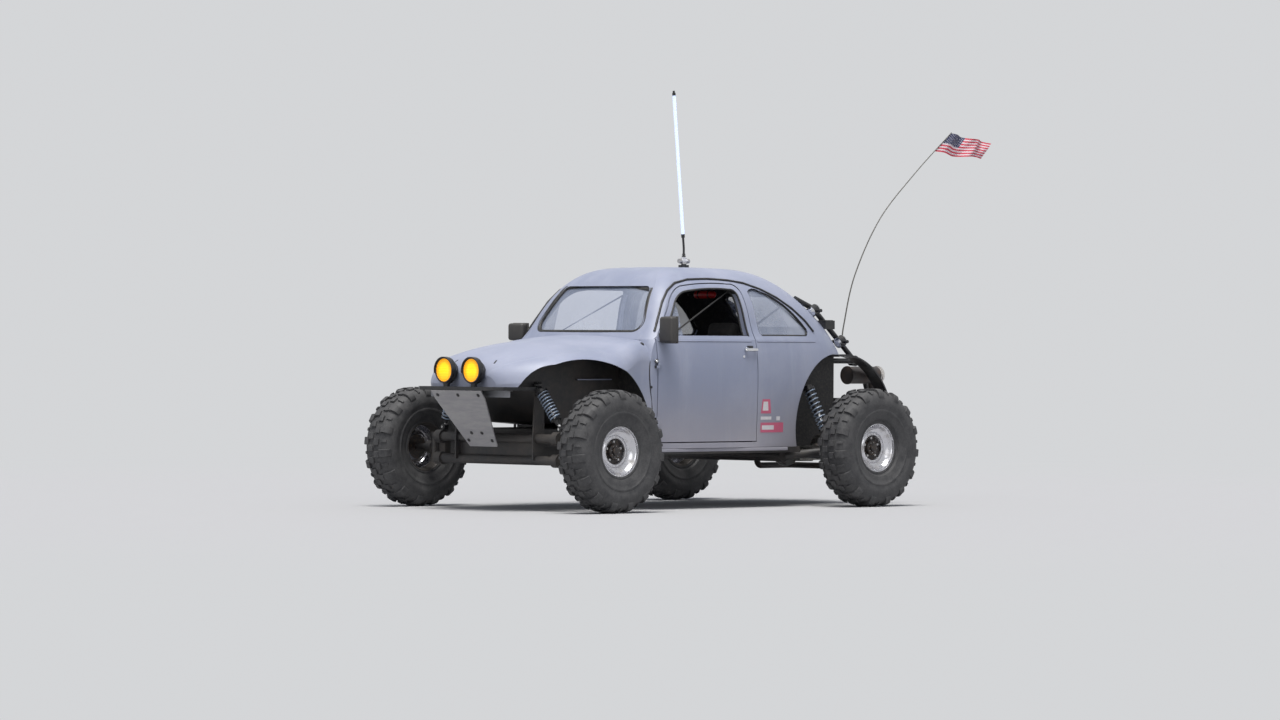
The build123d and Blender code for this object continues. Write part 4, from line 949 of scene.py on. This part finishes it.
# Columns: distance from the front axle, height, radius, skin, finish
STUDS = (
    (-0.690, 1.030, 0.013, cab_skin, chrome),
    (-0.668, 0.690, 0.010, cab_skin, chrome),
    (-0.640, 1.148, 0.013, clip_skin, satin),
    (-0.660, 0.850, 0.007, cab_skin, satin),
    (-0.655, 0.560, 0.007, cab_skin, satin),
)
bright, dark = bmesh.new(), bmesh.new()
for x, z, radius, skin, shine in STUDS:
    for side in (1, -1):
        spot, normal, index, gap = skin.ray_cast(Vector((FRONT_AXLE + x, side * 2, z)), Vector((0, -side, 0)))
        if spot is None:
            continue
        lot = bright if shine == chrome else dark
        rod(dark, spot - normal * 0.002, spot + normal * 0.002, radius + 0.003)
        rod(lot, spot - normal * 0.002, spot + normal * 0.006, radius, radius * 0.7)
piece("post_screws", bright, chrome, "car", 35)
piece("post_plugs", dark, satin, "car", 35)
# Each nose slot is a thin black patch on the skin: painted shade inside the slot
bm = bmesh.new()
for side in (1, -1):
    spot, normal, index, gap = clip_skin.ray_cast(Vector((3.2, side * 0.200, 1.020)), Vector((-1, 0, 0)))
    turn = normal.to_track_quat("Z", "Y").to_matrix().to_4x4()
    rounded_box(bm, spot, (0.012, 0.040, 0.004), 0.0018, 2, turn)
piece("nose_slot_shades", bm, satin, "car")
bm = bmesh.new()
for side in (1, -1):
    rounded_box(bm, Vector((0.615, side * 0.7035, 0.4115)), (1.30, 0.007, 0.023), 0.0022, 2)
piece("sill_strips", bm, paint, "car")
bm = bmesh.new()
for side in (1, -1):
    rounded_box(bm, Vector((1.570, side * 0.391, 0.900)), (0.330, 0.026, 0.009), 0.003, 2)
piece("tub_flanges", bm, paint, "car")
# A thin black sheet closes the open gap under the tub: painted shade where that gap looks dark
bm = bmesh.new()
rounded_box(bm, Vector((1.352, 0, 0.502)), (0.006, 0.760, 0.150), 0.0022, 1)
piece("gap_shade_panel", bm, chassis, "car")


# Skid plate fixings and shelf strap: dome bolts on washers, a folded pale strap under the shelf
skid_skin = BVHTree.FromBMesh(merged("skid_plate"))
bm = bmesh.new()
for y, z in ((0.205, 0.792), (-0.205, 0.792), (0.052, 0.532), (-0.052, 0.532), (0.0, 0.792), (0.118, 0.480), (-0.118, 0.480)):
    spot, normal, index, gap = skid_skin.ray_cast(Vector((3.2, y, z)), Vector((-1, 0, 0)))
    rod(bm, spot - normal * 0.001, spot + normal * 0.0022, 0.0135)
    rod(bm, spot + normal * 0.002, spot + normal * 0.0085, 0.0088, 0.0062, 12)
piece("skid_bolts", bm, satin, "car", 30)
strap_grey, shader, place, height = finish("primed_strap")
plug(
    shader,
    base_color=place.cloud(20, 5, 0.7).mixed((0.36, 0.38, 0.43, 1), (0.22, 0.21, 0.20, 1)),
    roughness=0.6,
)
bm = bmesh.new()
rounded_box(bm, Vector((2.365, 0, 0.802)), (0.004, 0.800, 0.046), 0.0015, 1)
rounded_box(bm, Vector((2.352, 0, 0.8235)), (0.030, 0.800, 0.004), 0.0015, 1)
piece("shelf_strap", bm, strap_grey, "car")


# Lamp trim: a screwed bezel round each lens and a cable gland at the back of each shell
bm = bmesh.new()
for side in (1, -1):
    middle = Vector((2.484, side * 0.138, 0.962))
    ring = (
        (-0.012, 0.083),
        (-0.012, 0.0895),
        (0.003, 0.0895),
        (0.006, 0.0875),
        (0.006, 0.0805),
        (0.001, 0.0785),
        (-0.002, 0.0785),
    )
    loop = [bm.verts.new(middle + Vector((out, 0, radius))) for out, radius in ring]
    edges = [bm.edges.new((a, b)) for a, b in zip(loop, loop[1:] + loop[:1])]
    bmesh.ops.spin(bm, geom=loop + edges, cent=middle, axis=(1, 0, 0), angle=tau, steps=64, use_merge=True)
    for step in range(6):
        turn = step * tau / 6 + 0.26
        spot = middle + Vector((0.005, 0.0845 * cos(turn), 0.0845 * sin(turn)))
        rod(bm, spot, spot + Vector((0.0035, 0, 0)), 0.0032, segments=8)
    rod(bm, middle + Vector((-0.118, 0, 0)), middle + Vector((-0.085, 0, 0)), 0.013, 0.018)
piece("lamp_bezels", bm, satin, "car", 35)


# Light whip fittings: a sprung base, two knurled knobs across it and a black ferrule and tip
bm, pale = bmesh.new(), bmesh.new()
foot = Vector((0.310, 0, 1.690))
for lift, radius, tall in ((0.000, 0.039, 0.007), (0.007, 0.034, 0.005), (0.078, 0.0145, 0.010), (0.092, 0.0125, 0.008)):
    rod(bm, foot + Vector((0, 0, lift)), foot + Vector((0, 0, lift + tall)), radius, radius * 0.94, 32)
for side in (1, -1):
    rod(pale, foot + Vector((side * 0.030, 0, 0.048)), foot + Vector((side * 0.049, 0, 0.048)), 0.0185, 0.0165, 12)
rod(pale, foot + Vector((0, 0, 0.026)), foot + Vector((0, 0, 0.040)), 0.0225, 0.0225, 12)
start, end = Vector((0.3193, 0, 1.926)), Vector((0.4158, 0, 2.915))
line = (end - start).normalized()
rod(bm, start - line * 0.022, start + line * 0.004, 0.0125, 0.0135)
rod(bm, end - line * 0.002, end + line * 0.018, 0.0132, 0.0115)
piece("whip_ferrules", bm, satin, "car", 35)
piece("whip_knobs", pale, bolt_steel, "car", 35)


# Flag whip and flag: a tapered glass-fibre rod bowed back, with a flag laced to its top.
# The flag is striped bunting with a dark corner next to the rod.
WHIP_Y = 0.400
BOW = (
    (-0.9080, 1.168),
    (-0.930, 1.300),
    (-1.040, 1.650),
    (-1.300, 2.060),
    (-1.670, 2.400),
    (-2.0705, 2.7150),
)
rod_glass, shader, place, height = finish("glass_fibre_rod")
plug(
    shader,
    base_color=place.cloud(12, 4, 0.6).mixed((0.05, 0.05, 0.048, 1), (0.13, 0.12, 0.10, 1)),
    roughness=0.4,
)
arc = []
for step in range(len(BOW) - 1):
    before = Vector(BOW[max(step - 1, 0)])
    here, there = Vector(BOW[step]), Vector(BOW[step + 1])
    after = Vector(BOW[min(step + 2, len(BOW) - 1)])
    for part in range(12):
        t = part / 12
        at = (
            here * 2
            + (there - before) * t
            + (before * 2 - here * 5 + there * 4 - after) * t * t
            + (here * 3 - before - there * 3 + after) * t * t * t
        ) / 2
        arc.append(Vector((at.x, WHIP_Y, at.y)))
arc.append(Vector((BOW[-1][0], WHIP_Y, BOW[-1][1])))
bm = bmesh.new()
for index, (a, b) in enumerate(zip(arc, arc[1:])):
    thick = 0.0055 - 0.0022 * index / len(arc)
    rod(bm, a, b, thick, thick - 0.0022 / len(arc), 12)
    bmesh.ops.create_icosphere(bm, subdivisions=1, radius=thick * 0.99, matrix=Matrix.Translation(b))
rod(bm, arc[0], arc[2], 0.012, 0.009, 20)
whip = piece("bowed_flag_whip", bm, rod_glass, "car")
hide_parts("flag_whip")

bunting, shader, place, height = finish("striped_bunting")
flat = Wire(bunting.node_tree.nodes.new("ShaderNodeUVMap").outputs["UV"])
bunting.node_tree.nodes["UV Map"].uv_map = "cut"
fly = flat.node("SeparateXYZ", {0: flat}, out=0)
hoist = flat.node("SeparateXYZ", {0: flat}, out=1)
stripe = hoist.maths("GREATER_THAN", hoist.maths("SINE", hoist * (13 * pi)), 0.0)
corner = fly.maths("LESS_THAN", fly, 0.40) * hoist.maths("GREATER_THAN", hoist, 6 / 13)
dots = fly.maths("SINE", fly * 88) * hoist.maths("SINE", hoist * 70)
dots = dots.maths("GREATER_THAN", dots, 0.72)
field = stripe.mixed((0.72, 0.60, 0.64, 1), (0.56, 0.02, 0.06, 1))
field = corner.mixed(field, dots.mixed((0.022, 0.03, 0.10, 1), (0.72, 0.72, 0.75, 1)))
threads = flat.node("TexWave", {"Vector": flat, "Scale": 60}, bands_direction="X")
plug(
    shader,
    base_color=(flat.cloud(3, 4, 0.6) * 0.25).mixed(field, (0.30, 0.26, 0.22, 1)),
    roughness=0.88,
    normal=bumped(threads, 0.15, 0.0004),
)
TOP_HOIST = Vector((-2.066, WHIP_Y, 2.7105))
LOW_HOIST = Vector((-1.890, WHIP_Y, 2.572))
TOP_FLY = Vector((-2.492, WHIP_Y, 2.650))
LOW_FLY = Vector((-2.432, WHIP_Y, 2.536))
bm = bmesh.new()
bmesh.ops.create_grid(bm, x_segments=72, y_segments=28, size=0.5)
layer = bm.loops.layers.uv.new("cut")
for face in bm.faces:
    for corner_loop in face.loops:
        corner_loop[layer].uv = (corner_loop.vert.co.x + 0.5, corner_loop.vert.co.y + 0.5)
for v in bm.verts:
    u, w = v.co.x + 0.5, v.co.y + 0.5
    top = TOP_HOIST.lerp(TOP_FLY, u)
    low = LOW_HOIST.lerp(LOW_FLY, u)
    wave = 0.026 * sin(u * 11.5 + w * 1.3) * min(1, u * 3) + 0.010 * sin(u * 23 - w * 3.1) * u
    sag = -0.010 * sin(pi * u) * (1 - w) + 0.006 * sin(u * 9 + 1)
    v.co = low.lerp(top, w) + Vector((0, wave, sag * min(1, u * 4)))
banner = piece("striped_flag", bm, bunting, "car", 180)
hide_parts("flag")


# Chase lamps on the rack: clear lenses in chromed rings that face back over the tail.
# The relay boxes between them have ribbed lids.
lens_clear, shader, place, height = finish("fluted_clear_lens")
ribs = place.node("TexWave", {"Vector": place, "Scale": 70}, bands_direction="Y")
plug(
    shader,
    base_color=ribs.mixed((0.72, 0.74, 0.78, 1), (0.86, 0.87, 0.90, 1)),
    metallic=0.6,
    roughness=0.12,
    normal=bumped(ribs, 0.4, 0.002),
)
rings, lenses, lids = bmesh.new(), bmesh.new(), bmesh.new()
aim = Vector((-1, 0, 0.35)).normalized()
for x, z in ((-0.590, 1.392), (-0.868, 1.170)):
    for side in (1, -1):
        middle = Vector((x, side * 0.422, z))
        rod(rings, middle + aim * 0.020, middle + aim * 0.0295, 0.0425, 0.0405, 40)
        rod(lenses, middle + aim * 0.029, middle + aim * 0.0335, 0.0365, 0.030, 40)
        rod(lenses, middle + aim * 0.0335, middle + aim * 0.036, 0.030, 0.012, 40)
        rod(rings, middle - aim * 0.040, middle - aim * 0.026, 0.020, 0.038, 40)
for side in (1, -1):
    for step in range(5):
        rounded_box(lids, Vector((-0.718 + (step - 2) * 0.018, side * 0.422, 1.3225)), (0.006, 0.072, 0.004), 0.0015, 1)
piece("chase_rings", rings, chrome, "car", 30)
piece("chase_lenses", lenses, lens_clear, "car", 30)
piece("relay_ribs", lids, moulded, "car")


# Bare decals behind the door: thin vinyl patches that follow the skin, with nothing printed
vinyl_red, shader, place, height = finish("rose_vinyl")
plug(
    shader,
    base_color=place.cloud(50, 4, 0.6).mixed((0.60, 0.13, 0.22, 1), (0.48, 0.12, 0.18, 1)),
    roughness=0.35,
)
vinyl_white, shader, place, height = finish("white_vinyl")
plug(shader, base_color=place.cloud(50, 4, 0.6).mixed((0.74, 0.72, 0.74, 1), (0.55, 0.52, 0.52, 1)), roughness=0.35)
# Columns: front, rear, foot and top of the patch, how proud it lies, finish
PATCHES = (
    (-1.735, -1.985, 0.528, 0.597, 0.0010, vinyl_red),
    (-1.750, -1.880, 0.547, 0.578, 0.0015, vinyl_white),
    (-1.735, -1.850, 0.618, 0.640, 0.0010, vinyl_white),
    (-1.905, -1.945, 0.612, 0.640, 0.0010, vinyl_white),
    (-1.735, -1.845, 0.662, 0.762, 0.0010, vinyl_red),
    (-1.752, -1.815, 0.682, 0.745, 0.0015, vinyl_white),
)
for index, (ahead_end, rear_end, foot_z, top_z, proud, vinyl) in enumerate(PATCHES):
    bm = bmesh.new()
    for side in (1, -1):
        sheet = bmesh.ops.create_grid(bm, x_segments=10, y_segments=5, size=0.5)["verts"]
        for v in sheet:
            u, w = v.co.x + 0.5, v.co.y + 0.5
            squeeze = 1 - 0.25 * w if index in (4, 5) else 1
            x = ahead_end + (rear_end - ahead_end) * (0.5 + (u - 0.5) * squeeze)
            v.co = on_skin(cab_skin, x, foot_z + (top_z - foot_z) * w, side, proud)
    made = piece("bare_decal_" + str(index + 1), bm, vinyl, "car", 180)
    for polygon in made.data.polygons:
        if polygon.normal.y * polygon.center.y < 0:
            polygon.flip()


# Cabin: a red extinguisher and a white dome light under the roof, gauges
red_enamel, shader, place, height = finish("red_enamel")
plug(shader, base_color=place.cloud(20, 4, 0.6).mixed((0.55, 0.012, 0.015, 1), (0.35, 0.02, 0.02, 1)), roughness=0.3)
bottle = bmesh.new()
neck = bmesh.new()
hold = Vector((0.200, 0.03, 1.500))
REACH = Vector((0, 0.150, 0))
rod(bottle, hold, hold + REACH, 0.028, 0.028, 40)
for spot in (hold, hold + REACH):
    ball = Matrix.Translation(spot)
    bmesh.ops.create_uvsphere(bottle, u_segments=32, v_segments=16, radius=0.028, matrix=ball)
rod(neck, hold + Vector((0, -0.055, 0)), hold + Vector((0, -0.022, 0)), 0.010)
rounded_box(neck, hold + Vector((0.010, -0.062, 0)), (0.045, 0.018, 0.018), 0.005)
for y in (0.02, 0.12):
    rod(neck, hold + Vector((0, y, 0)), hold + Vector((0, y + 0.012, 0)), 0.0292, 0.0292, 40)
    rounded_box(neck, hold + Vector((-0.030, y + 0.006, 0.028)), (0.060, 0.012, 0.045), 0.004)
piece("extinguisher", bottle, red_enamel, "car", 60)
piece("extinguisher_head", neck, satin, "car", 35)
bm = bmesh.new()
rounded_box(bm, Vector((0.52, 0.0, 1.597)), (0.070, 0.260, 0.018), 0.006)
piece("dome_light", bm, vinyl_white, "car")


# Seats: two buckets of stitched rolls over foam, covered in black cloth, on low steel risers.
# The rolls and bolsters are stuffed, so they swell against each other at the seams.
def stuffed(name, bm, material, body, most):
    """Merges overlapping pads into one skin, lets pressure swell it and keeps the result."""
    rough = bpy.data.meshes.new(name)
    bm.to_mesh(rough)
    bm.free()
    made = bpy.data.objects.new(name, rough)
    bpy.context.scene.collection.objects.link(made)
    knit = made.modifiers.new("knit", "REMESH")
    knit.mode = "VOXEL"
    knit.voxel_size = 0.0125
    graph = bpy.context.evaluated_depsgraph_get()
    skin = bpy.data.meshes.new_from_object(made.evaluated_get(graph))
    made.modifiers.clear()
    made.data = skin
    start = [v.co.copy() for v in skin.vertices]
    swell = made.modifiers.new("swell", "CLOTH")
    swell.settings.quality = 4
    swell.settings.use_pressure = True
    swell.settings.uniform_pressure_force = 4
    swell.settings.effector_weights.gravity = 0
    for frame_number in range(1, 21):
        bpy.context.scene.frame_set(frame_number)
    graph = bpy.context.evaluated_depsgraph_get()
    blown = made.evaluated_get(graph).to_mesh()
    moved = [v.co.copy() for v in blown.vertices]
    made.evaluated_get(graph).to_mesh_clear()
    made.modifiers.clear()
    bpy.context.scene.frame_set(1)
    for v, old, new in zip(skin.vertices, start, moved):
        step = new - old
        v.co = old + step * min(1, most / max(step.length, 0.00001))
    skin.materials.clear()
    skin.materials.append(material)
    skin.shade_smooth()
    finer = made.modifiers.new("finer", "SUBSURF")
    finer.levels = finer.render_levels = 1
    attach(made, body)
    return made


SEAT_Y = 0.330
LEAN = 0.19
bm, risers = bmesh.new(), bmesh.new()
tilt = Matrix.Rotation(-0.13, 4, "Y")
back_tilt = Matrix.Rotation(-LEAN, 4, "Y")
for side in (1, -1):
    middle = side * SEAT_Y
    rounded_box(bm, Vector((0.610, middle, 0.540)), (0.44, 0.41, 0.085), 0.03, 3, tilt)
    for step in range(4):
        along_seat = 0.785 - step * 0.104
        rounded_box(bm, Vector((along_seat, middle, 0.588 - step * 0.013)), (0.102, 0.30, 0.105), 0.034, 4, tilt)
    for edge in (1, -1):
        rounded_box(bm, Vector((0.622, middle + edge * 0.185, 0.590)), (0.43, 0.078, 0.150), 0.035, 4, tilt)
    rounded_box(bm, Vector((0.262, middle, 0.930)), (0.055, 0.40, 0.62), 0.026, 3, back_tilt)
    for step in range(5):
        lift = 0.700 + step * 0.104
        rounded_box(bm, Vector((0.345 - (lift - 0.66) * LEAN, middle, lift)), (0.090, 0.30, 0.103), 0.034, 4, back_tilt)
    for edge in (1, -1):
        rounded_box(bm, Vector((0.300, middle + edge * 0.185, 0.905)), (0.140, 0.078, 0.52), 0.036, 4, back_tilt)
    rounded_box(bm, Vector((0.238, middle, 1.246)), (0.095, 0.27, 0.125), 0.040, 4, back_tilt)
    rounded_box(risers, Vector((0.570, middle, 0.4575)), (0.40, 0.30, 0.066), 0.004, 1)
    rounded_box(risers, Vector((0.570, middle, 0.493)), (0.46, 0.36, 0.012), 0.004, 1)
stand = piece("seat_risers", risers, chassis, "car")
seats = stuffed("bucket_seats", bm, weave, "car", 0.009)
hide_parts("seats")


# Instruments: two round dials in bright rings and a row of switches on the dash top
dash_skin = BVHTree.FromBMesh(merged("dash"))
dial_face, shader, place, height = finish("black_dial_face")
ticks = place.node("TexWave", {"Vector": place, "Scale": 55}, bands_direction="Z")
plug(
    shader,
    base_color=ticks.maths("GREATER_THAN", ticks, 0.93).mixed((0.012, 0.012, 0.013, 1), (0.5, 0.5, 0.5, 1)),
    roughness=0.25,
)
rings, faces, tabs = bmesh.new(), bmesh.new(), bmesh.new()
for y, radius in ((0.262, 0.045), (0.398, 0.045), (0.060, 0.028), (-0.010, 0.028)):
    spot, normal, index, gap = dash_skin.ray_cast(Vector((0.7, y, 1.125)), Vector((1, 0, 0)))
    rod(rings, spot - normal * 0.001, spot + normal * 0.009, radius + 0.005, radius + 0.002, 40)
    rod(faces, spot + normal * 0.0085, spot + normal * 0.0100, radius, radius, 40)
for step in range(6):
    spot, normal, index, gap = dash_skin.ray_cast(Vector((0.7, -0.100 - step * 0.034, 1.110)), Vector((1, 0, 0)))
    rod(tabs, spot, spot + normal * 0.006, 0.009, 0.009, 16)
    rod(tabs, spot + normal * 0.006, spot + normal * 0.022 + Vector((0, 0, 0.006)), 0.003, 0.0045, 12)
piece("dial_rings", rings, chrome, "car", 35)
piece("dial_faces", faces, dial_face, "car", 35)
piece("dash_switches", tabs, bolt_steel, "car", 35)


# Closing sheet under the luggage tub: a shallow black tray between the tub and the frame head, painted shade that fills
# the dark gap there
bm = bmesh.new()
rounded_box(bm, Vector((1.690, 0, 0.500)), (0.670, 0.640, 0.124), 0.012, 2)
piece("tub_gap_shade", bm, chassis, "car")


# Tail lamps: small red lenses in black cups, clamped to the hoop of the rear cage
red_lens, shader, place, height = finish("red_tail_lens")
plug(
    shader,
    base_color=place.cloud(30, 3, 0.6).mixed((0.50, 0.012, 0.012, 1), (0.34, 0.01, 0.01, 1)),
    roughness=0.16,
)
cups, reds = bmesh.new(), bmesh.new()
for side in (1, -1):
    at = Vector((-1.098, side * 0.330, 1.030))
    rod(cups, at + Vector((0.024, 0, 0)), at - Vector((0.026, 0, 0)), 0.034, 0.040, 32)
    rod(reds, at - Vector((0.026, 0, 0)), at - Vector((0.036, 0, 0)), 0.0365, 0.028, 32)
piece("tail_lamp_cups", cups, satin, "car", 35)
piece("tail_lamp_lenses", reds, red_lens, "car", 35)


# Studio: a pale floor that meets an equally pale backdrop, a broad soft sun and an even sky
PALE = (0.66, 0.67, 0.685, 1)
ground = bpy.data.materials.new("pale_floor")
ground.use_nodes = True
tree = ground.node_tree
shader = tree.nodes["Principled BSDF"]
plug(shader, base_color=(0.405, 0.405, 0.412, 1), roughness=0.95)
shader.inputs["Specular IOR Level"].default_value = 0.1
far = Wire(tree.nodes.new("ShaderNodeTexCoord").outputs["Object"])
far = far.node("VectorMath", {0: far}, out=1, operation="LENGTH").blur(4.0, 14.0)
rays = far.node("LightPath", {})
plain = far.maths("MAXIMUM", rays, Wire(rays.socket.node.outputs["Is Glossy Ray"]))
plain = far.maths("MAXIMUM", plain, Wire(rays.socket.node.outputs["Is Transmission Ray"]))
haze = far.node("Emission", {"Color": PALE, "Strength": 1.0})
joined = far.node("MixShader", {0: far * plain, 1: Wire(shader.outputs[0]), 2: haze})
tree.links.new(joined.socket, tree.nodes["Material Output"].inputs["Surface"])
bpy.ops.mesh.primitive_plane_add(size=400, location=(0, 0, 0))
floor = bpy.context.object
floor.name = "studio_floor"
floor.data.materials.append(ground)

world = bpy.data.worlds.new("studio")
bpy.context.scene.world = world
world.use_nodes = True
background = world.node_tree.nodes["Background"]
rays = Wire(world.node_tree.nodes.new("ShaderNodeLightPath").outputs["Is Camera Ray"])
seen = rays.maths("MAXIMUM", rays, Wire(rays.socket.node.outputs["Is Glossy Ray"]))
seen = rays.maths("MAXIMUM", seen, Wire(rays.socket.node.outputs["Is Transmission Ray"]))
sky = seen.mixed((0.30, 0.325, 0.385, 1), PALE)
world.node_tree.links.new(sky.socket, background.inputs["Color"])
background.inputs["Strength"].default_value = 1.0


def lamp(name, toward, power, spread, colour=(1, 1, 1)):
    light = bpy.data.lights.new(name, "SUN")
    light.energy = power
    light.angle = spread
    light.color = colour
    stand = bpy.data.objects.new(name, light)
    bpy.context.scene.collection.objects.link(stand)
    stand.rotation_mode = "QUATERNION"
    stand.rotation_quaternion = Vector(toward).to_track_quat("-Z", "Y")


lamp("high_sun", (-0.22, -0.18, -1.0), 4.2, 0.5, (1.0, 0.985, 0.96))
lamp("side_sun", (-0.8, -1.0, -0.55), 0.38, 0.7)

bpy.context.scene.view_settings.view_transform = "Standard"
